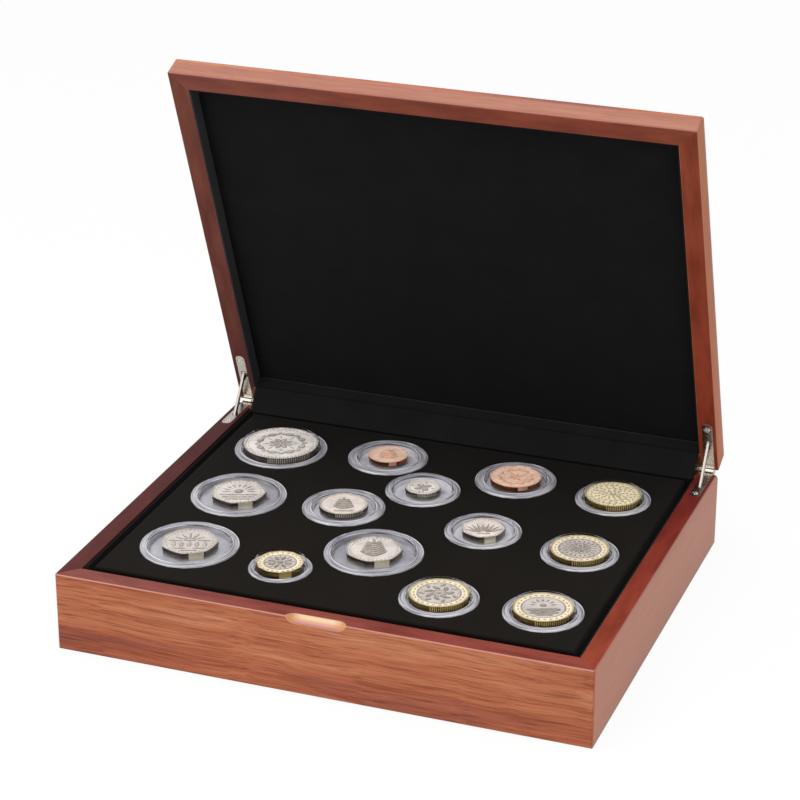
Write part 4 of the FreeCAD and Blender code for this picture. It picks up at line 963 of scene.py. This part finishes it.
# each coin: its capsule, the corners of its outline, and the metal of its outside
COINS = {
    "large_silver": ("big", 110, "silver"),
    "small_copper": ("mid", 48, "copper"),
    "large_copper": ("mid", 56, "copper"),
    "gold": ("standard", 84, "gold"),
    "left_heptagon": ("big", 7, "dull_silver"),
    "mid_silver": ("mid", 84, "satin_silver"),
    "small_silver": ("standard", 72, "silver"),
    "small_heptagon": ("standard", 7, "satin_silver"),
    "right_two_metal": ("standard", 90, "ring_gold"),
    "front_heptagon": ("big", 7, "grey_silver"),
    "twelve_sided": ("small", 12, "ring_gold"),
    "centre_heptagon": ("big", 7, "dull_silver"),
    "front_two_metal": ("standard", 90, "ring_gold"),
    "corner_two_metal": ("standard", 90, "ring_gold"),
}
CENTRES = {}
for stem, (family, sides, _) in COINS.items():
    low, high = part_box(stem + "_capsule")
    centre = ((low.x + high.x) / 2, (low.y + high.y) / 2)
    CENTRES[stem] = centre
    edge = (high.x - low.x) / 2
    dome = edge - BRIM[family] * MM
    # the smaller capsules get paler copies of the plastic: painted light that makes up for the lesser light
    # falling on them
    plastics = (milky, inner_milky) if family == "big" else (pale_milky, inner_pale)
    lower = capsule_base(stem + "_capsule_base", centre, edge, dome, plastics)
    coin_node = stem + "_coin" if stem + "_coin" in nodes else stem + "_coin_ring"
    coin_low, coin_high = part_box(coin_node)
    seat_radius = (coin_high.x - coin_low.x) / 2 - 0.25 * MM
    seat = outline(centre, seat_radius, COIN_SEAT - SEAT_SINK, min(sides, 48), COIN_TURN)
    thicken(SEAT_SINK - 0.02 * MM)
    settle(seat, stem + "_seat")
    seat.data.materials.append(seat_reflection)
    seat.data.materials.append(seat_glint_reflection)
    # the seat's faces under a coin's lit facet get a painted reflection of its glint
    for face in seat.data.polygons:
        lit = abs(face.normal.z) < 0.5 and catches_light(face.center.xy - Vector(centre), FACET_GLINT)
        face.material_index = 1 if lit and sides < FEWEST_ROUND else 0
    lower = join([lower, seat])
    mark_flow(lower, centre)
    finish_piece(lower, None, stem + "_capsule", "clear_plastic", stem + "_capsule")
    upper = capsule_cover(stem + "_capsule_cover", centre, dome, high.z)
    finish_piece(upper, clear, stem + "_capsule", "clear_plastic", stem + "_capsule")

# %% [markdown]
# ## Coin metals
# Struck coins have several surfaces: a satin field, a bright relief, walls and edges with darker tones of
# painted shade, where the metal edges also mirror the black tray, and a painted highlight where an edge faces
# the lamp. Each metal comes as such a set, with fine handling marks.

# %% Coin metals
# places of a metal's finishes among a coin's materials, after its field
RELIEF, EDGE, PAINTED_HIGHLIGHT, WALL = 1, 2, 3, 4


def coin_metal(name, field, relief, edge, painted_glint, wall):
    """One alloy as field, relief, edge, painted glint and wall. The field's grain scatters, so it is less
    metallic.
    """
    finishes = []
    # the edge and wall tones are painted darker as shade, and the glint tone is a painted highlight
    for finish, tone, metal, low, high, patch, deep in (
        ("field", field, 0.05, 0.34, 0.44, 6, 0.84),
        ("relief", relief, 0.2, 0.24, 0.32, 2.5, 0.72),
        ("edge", edge, 1.0, 0.2, 0.3, 6, 0.7),
        ("painted_glint", painted_glint, 0.5, 0.25, 0.35, 6, 0.8),
        ("wall", wall, 0.2, 0.3, 0.4, 6, 0.8),
    ):
        material, tree, shader = new_material(f"{name}_{finish}", Base_Color=linear(tone), Metallic=metal)
        place = add_node(tree, "TexCoord").outputs["Object"]
        marks = add_node(tree, "TexNoise", None, {"Vector": place, "Scale": 1 / (0.9 * MM), "Detail": 3})
        rub = {"Value": marks.outputs["Fac"], "To Min": low, "To Max": high}
        gloss = add_node(tree, "MapRange", None, rub)
        tree.links.new(gloss.outputs[0], shader.inputs["Roughness"])
        # lustre: soft darker patches, a few millimetres wide, painted in for the uneven reflection of the
        # coin's metal
        waves = {"Vector": place, "Scale": 1 / (patch * MM), "Detail": 2, "Distortion": 0.6}
        lustre = add_node(tree, "TexNoise", None, waves).outputs["Fac"]
        spread = {"Value": lustre, "From Min": 0.4, "From Max": 0.6, "To Min": deep, "To Max": 1.0}
        shade = add_node(tree, "MapRange", None, spread).outputs[0]
        toned = add_node(tree, "Mix", MULTIPLY, {0: 1.0, 6: linear(tone), 7: shade})
        tree.links.new(toned.outputs[2], shader.inputs["Base Color"])
        finishes.append(material)
    return finishes


# the silver copies differ only in tone, each set to its coin
METALS = {
    "silver": coin_metal("cupronickel", "#F8F0E8", "#E0D7CC", "#7A7268", "#B5AC9C", "#A0968A"),
    "satin_silver": coin_metal("toned_cupronickel", "#EADED4", "#C6B9AD", "#766C62", "#B5AC9C", "#857A6F"),
    "dull_silver": coin_metal("deeper_toned_cupronickel", "#DAD1C9", "#B8AEA4", "#6E665C", "#D6CBAE", "#7E746A"),
    "grey_silver": coin_metal("grey_cupronickel", "#C4BBB3", "#B2A89E", "#6A6258", "#D6CBAE", "#6E655B"),
    "core_silver": coin_metal("core_cupronickel", "#C8BFB7", "#A89E94", "#6E665C", "#C6BB9E", "#776E64"),
    "gold": coin_metal("nickel_brass", "#FFF1D0", "#CDBA84", "#8A763E", "#BFA96A", "#A08B52"),
    "ring_gold": coin_metal("pale_nickel_brass", "#F0E3C8", "#CBBA8C", "#7E6C3C", "#A8935A", "#A08C56"),
    "copper": coin_metal("copper_plate", "#FFDDC4", "#FFCDB0", "#B4663F", "#E3A582", "#F0AC8A"),
}

# %% [markdown]
# ## Coin blanks
# A blank is its outline, extruded to the coin's thickness. A round edge is reeded by pulling every second
# corner in before the extrusion, and only the copper coins' edges are smooth. Both faces are inset for the
# rim and sunk for the field.

# %% Coin blanks
RIM_SHARE = 0.06
FIELD_SINK = 0.3 * MM
REED_DEPTH = 0.14 * MM


def blank(name, centre, radius, bottom, top, sides, reeded):
    """A coin before striking: outline, reeding, extrusion, rim and field."""
    is_round = sides > FEWEST_ROUND
    item = outline(centre, radius, bottom, 2 * sides if is_round else sides, 0.0 if is_round else COIN_TURN)
    if reeded:
        pick(item, "VERT", lambda vertex: vertex.index % 2 == 0)
        share = 1 - REED_DEPTH / radius
        bpy.ops.transform.resize(value=(share, share, 1), center_override=(*centre, bottom))
        bpy.ops.mesh.select_all(action="SELECT")
    thicken(top - bottom)
    for sign in (1, -1):
        pick(item, "FACE", lambda face: face.normal.z * sign > 0.9)
        bpy.ops.mesh.inset(thickness=RIM_SHARE * radius)
        bpy.ops.mesh.inset(thickness=0.15 * MM, depth=-FIELD_SINK)
    return settle(item, name)


# %% [markdown]
# ## Coin designs
# The designs are plain ornament: stars, wreaths, leaves, rays and beads. A petal, a ray or a bead is
# modelled once, set at its distance from the middle and spun into a ring, the way an engraver repeats a
# punch.

# %% Punches
def punch(kind, length, width, height):
    """One small raised form, lying along X at the origin."""
    clear_selection()
    if kind == "bead":
        bpy.ops.mesh.primitive_uv_sphere_add(segments=8, ring_count=4, radius=0.5)
    elif kind == "hoop":
        bpy.ops.mesh.primitive_torus_add(
            major_radius=0.5, minor_radius=0.5 * width / length, major_segments=64, minor_segments=6
        )
    else:
        corner_count = {"petal": 12, "ray": 4, "bar": 8}[kind]
        bpy.ops.mesh.primitive_circle_add(vertices=corner_count, radius=0.5, fill_type="NGON")
    item = bpy.context.object
    edit_all()
    if kind == "bead":
        bpy.ops.transform.resize(value=(length, width, 2 * height))
    elif kind == "hoop":
        bpy.ops.transform.resize(value=(length, length, 2 * height * length / width))
    else:
        # steep walls that draw the outline, and a top that comes to a soft ridge
        bpy.ops.mesh.extrude_region_move(TRANSFORM_OT_translate={"value": (0, 0, 0.8 * height)})
        bpy.ops.transform.resize(value=(0.8, 0.62, 1))
        bpy.ops.mesh.poke(offset=0.2 * height)
        bpy.ops.mesh.select_all(action="SELECT")
        bpy.ops.transform.resize(value=(length, width, 1))
    bpy.ops.object.mode_set(mode="OBJECT")
    return item


def punch_ring(centre, radius, height, kind, length, width, distance, angle=0, turn=0, count=1):
    """A punch at a distance from the middle, repeated round it. Sizes are shares of the radius."""
    # fine marks stand about 0.2 mm high, and broad ones up to 0.36 mm
    item = punch(kind, length * radius, width * radius, 0.17 * MM + 0.8 * min(width, 0.24) * MM)
    a = math.radians(angle)
    reach = distance * radius
    item.location = (centre[0] + reach * math.cos(a), centre[1] + reach * math.sin(a), height)
    item.rotation_euler.z = a + math.radians(turn)
    apply_place()
    if count > 1:
        edit_all()
        sweep = math.tau * (count - 1) / count
        bpy.ops.mesh.spin(steps=count - 1, dupli=True, angle=sweep, center=(*centre, height), axis=(0, 0, 1))
        bpy.ops.object.mode_set(mode="OBJECT")
    return item


# %% Designs
UP = 110  # the way up of an upright design, in degrees from X


def spot(kind, length, width, up, across, own):
    """A punch placed by its height and side step on an upright design, and turned by its own angle."""
    angle = UP - math.degrees(math.atan2(across, up))
    return (kind, length, width, math.hypot(up, across), angle, UP + own - angle, 1)


def row(kind, length, width, up, spread, count):
    """Punches side by side in a level row."""
    return [spot(kind, length, width, up, spread * (k / (count - 1) - 0.5), 90) for k in range(count)]


def sprig(low, high, pairs, length, width, lean):
    """A stem with pairs of leaves that get smaller towards its tip, and a leaf on the tip."""
    marks = [spot("ray", high - low, 0.07, (low + high) / 2, 0, 0)]
    marks.append(spot("petal", length * 0.6, width * 0.7, high, 0, 0))
    for k in range(pairs):
        share = k / (pairs - 1)
        size = length * (1 - 0.45 * share)
        up = low + (high - low) * (0.15 + 0.7 * share) + 0.4 * size * math.cos(math.radians(lean))
        across = 0.5 * size * math.sin(math.radians(lean))
        leaf = width * (1 - 0.3 * share)
        marks += [spot("petal", size, leaf, up, side * across, -side * lean) for side in (1, -1)]
    return marks


def fan(kind, length, width, foot, reach, count, opening):
    """Punches spread like a fan from a point on the middle line."""
    marks = []
    for k in range(count):
        lean = opening * (k / (count - 1) - 0.5)
        up = foot + reach * math.cos(math.radians(lean))
        marks.append(spot(kind, length, width, up, reach * math.sin(math.radians(lean)), -lean))
    return marks


# a punch: kind, length, width, distance, angle, own turn, count
BEADED = [("bead", 0.05, 0.05, 0.88, 0, 0, 52)]
BORDER = [("bead", 0.06, 0.06, 0.84, 0, 0, 35)]
PELLETS = [("bar", 0.06, 0.12, 0.83, 0, 0, 26)]
DESIGNS = {
    "large_silver": BEADED + [
        ("petal", 0.26, 0.15, 0.2, 0, 0, 8), ("bead", 0.14, 0.14, 0, 0, 0, 1),
        ("ray", 0.24, 0.05, 0.4, 22.5, 0, 8), ("bead", 0.2, 0.26, 0.6, 0, 0, 8),
        ("petal", 0.2, 0.09, 0.62, 18, 35, 8), ("petal", 0.2, 0.09, 0.62, 27, -35, 8),
    ],
    "small_copper": BEADED + sprig(-0.6, 0.55, 4, 0.62, 0.26, 55),
    "large_copper": BEADED + [
        ("petal", 0.28, 0.12, 0.62, 0, 50, 12), ("petal", 0.28, 0.12, 0.62, 15, -50, 12),
        ("ray", 0.44, 0.16, 0.22, 45, 0, 4), ("ray", 0.3, 0.12, 0.18, 0, 0, 4),
        ("hoop", 0.9, 0.03, 0, 0, 0, 1), ("bead", 0.12, 0.12, 0, 0, 0, 1),
    ],
    "gold": [
        ("ray", 0.2, 0.08, 0.1, 0, 0, 5), ("ray", 0.17, 0.07, 0.24, 12, 60, 9),
        ("ray", 0.17, 0.07, 0.37, 0, -20, 11), ("ray", 0.17, 0.07, 0.5, 8, 70, 16),
        ("ray", 0.17, 0.07, 0.63, 0, 20, 17), ("ray", 0.16, 0.07, 0.76, 5, -65, 24),
        ("bead", 0.05, 0.05, 0.88, 0, 0, 34),
    ],
    "left_heptagon": BORDER + [("bead", 0.34, 0.34, 0.06, UP, 0, 1)]
    + fan("ray", 0.34, 0.1, 0.06, 0.46, 9, 190)
    + row("petal", 0.28, 0.12, -0.24, 1.15, 6) + row("petal", 0.28, 0.12, -0.42, 0.95, 5)
    + row("petal", 0.28, 0.12, -0.6, 0.7, 4),
    "mid_silver": BEADED + sprig(-0.55, 0.5, 6, 0.5, 0.17, 60) + row("bar", 0.34, 0.12, -0.62, 0.5, 3),
    "small_silver": BEADED + [
        ("petal", 0.46, 0.36, 0.3, 45, 0, 4), ("ray", 0.6, 0.1, 0.45, UP + 180, 0, 1),
        ("bead", 0.14, 0.14, 0, 0, 0, 1), ("hoop", 1.5, 0.04, 0, 0, 0, 1),
        ("petal", 0.2, 0.12, 0.58, 0, 0, 4),
    ],
    "small_heptagon": BORDER + fan("ray", 0.9, 0.15, -0.5, 0.56, 9, 130)
    + row("petal", 0.24, 0.12, -0.56, 0.4, 3),
    "right_two_metal": PELLETS + [
        ("petal", 0.24, 0.12, 0.2, 0, 0, 7), ("ray", 0.22, 0.07, 0.52, 0, 0, 20),
        ("bead", 0.14, 0.14, 0, 0, 0, 1), ("hoop", 0.74, 0.03, 0, 0, 0, 1),
        ("bead", 0.07, 0.07, 0.66, 9, 0, 20), ("petal", 0.16, 0.08, 0.3, 25.7, 0, 7),
    ],
    "front_heptagon": BORDER + row("bar", 0.5, 0.12, 0.08, 1.0, 3) + row("bar", 0.16, 0.5, -0.22, 1.1, 5)
    + row("bar", 0.5, 0.1, -0.52, 0.7, 2) + fan("bar", 0.5, 0.1, 0.1, 0.34, 5, 130)
    + row("petal", 0.22, 0.1, -0.68, 0.4, 3),
    "twelve_sided": [
        ("petal", 0.38, 0.18, 0.36, 0, 0, 8), ("bead", 0.28, 0.28, 0, 0, 0, 1),
        ("bar", 0.06, 0.13, 0.83, 0, 0, 24), ("bead", 0.08, 0.08, 0.58, 22.5, 0, 8),
        ("ray", 0.2, 0.07, 0.46, 22.5, 0, 8),
    ],
    "centre_heptagon": BORDER + sprig(-0.7, 0.62, 7, 0.62, 0.16, 50),
    "front_two_metal": PELLETS + [
        ("petal", 0.3, 0.16, 0.38, 20, 40, 7), ("petal", 0.24, 0.11, 0.56, 45, -40, 7),
        ("bead", 0.1, 0.1, 0.22, 0, 0, 7), ("bead", 0.16, 0.16, 0, 0, 0, 1),
        ("bead", 0.07, 0.07, 0.64, 20, 0, 14), ("ray", 0.3, 0.05, 0.22, 26, 0, 7),
    ],
    "corner_two_metal": PELLETS + fan("ray", 0.22, 0.08, 0.14, 0.34, 7, 170)
    + [("bead", 0.24, 0.24, 0.14, UP, 0, 1)]
    + row("petal", 0.56, 0.22, -0.16, 0.56, 3) + row("petal", 0.5, 0.2, -0.36, 0.5, 3)
    + row("petal", 0.4, 0.14, -0.52, 0.2, 2),
}
print(sum(len(design) for design in DESIGNS.values()), "punch rings")

# %% [markdown]
# ## Striking the coins
# Each blank is made from its solid's size, takes its metal's five finishes, and is joined with its punches.
# Two-metal coins are a blank for the ring with the core set in it, as in the real ones.

# %% Striking
def strike(item, metal, centre, radius, field, design, glint, reeded):
    """Gives a blank its finishes and its relief. Glint is where its edge gets a painted highlight."""
    for finish in METALS[metal]:
        item.data.materials.append(finish)
    for face in item.data.polygons:
        outward = face.center.xy - Vector(centre)
        if abs(face.normal.z) < 0.3 and outward.length > 0.9 * radius:
            # on a reeded edge the painted highlight goes on only one side of each reed
            turned_away = reeded and face.normal.xy.cross(outward) > 0
            face.material_index = PAINTED_HIGHLIGHT if catches_light(outward, glint) and not turned_away else EDGE
        elif face.center.z > field + 0.05 * MM:
            face.material_index = RELIEF
    marks = [punch_ring(centre, radius, field, *entry) for entry in design]
    for mark in marks:
        for finish in METALS[metal]:
            mark.data.materials.append(finish)
        for face in mark.data.polygons:
            # steep punch walls take the darker wall tone: painted shade that outlines the relief
            face.material_index = RELIEF if abs(face.normal.z) > 0.93 else WALL
    return join([item] + marks)


def node_size(node):
    """A solid's radius, bottom and top."""
    low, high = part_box(node)
    return (high.x - low.x) / 2, low.z, high.z


for stem, (_, sides, metal) in COINS.items():
    centre = CENTRES[stem]
    two_metal = stem + "_coin_ring" in nodes
    outer_node = stem + ("_coin_ring" if two_metal else "_coin")
    radius, bottom, top = node_size(outer_node)
    field = top - FIELD_SINK
    glint = FACET_GLINT if sides < FEWEST_ROUND else COPPER_GLINT if metal == "copper" else REED_GLINT
    reeded = sides > FEWEST_ROUND and metal != "copper"
    design = DESIGNS[stem]
    # a punch's fourth value is its distance from the middle
    on_ring = [entry for entry in design if entry[3] > CORE_SHARE or not two_metal]
    coin = blank("struck_" + outer_node, centre, radius, bottom, top, sides, reeded)
    coin = strike(coin, metal, centre, radius, field, on_ring, glint, reeded)
    finish_piece(coin, None, stem + "_capsule", "coin_" + metal.split("_")[-1], outer_node)
    if two_metal:
        core = node_size(stem + "_coin_core")[0]
        raised = field + 0.05 * MM
        lip = raised + 0.16 * MM
        rings = [(core - 0.1 * MM, bottom + 0.1 * MM), (core, bottom + 0.2 * MM), (core, raised)]
        rings += [(core - 0.25 * MM, lip), (core - 0.55 * MM, lip), (core - 0.75 * MM, raised)]
        disc = turned("struck_" + stem + "_core", centre, rings)
        on_core = [entry for entry in design if entry[3] <= CORE_SHARE]
        disc = strike(disc, "core_silver", centre, radius, raised, on_core, glint, False)
        finish_piece(disc, None, stem + "_capsule", "coin_silver", stem + "_coin_core")
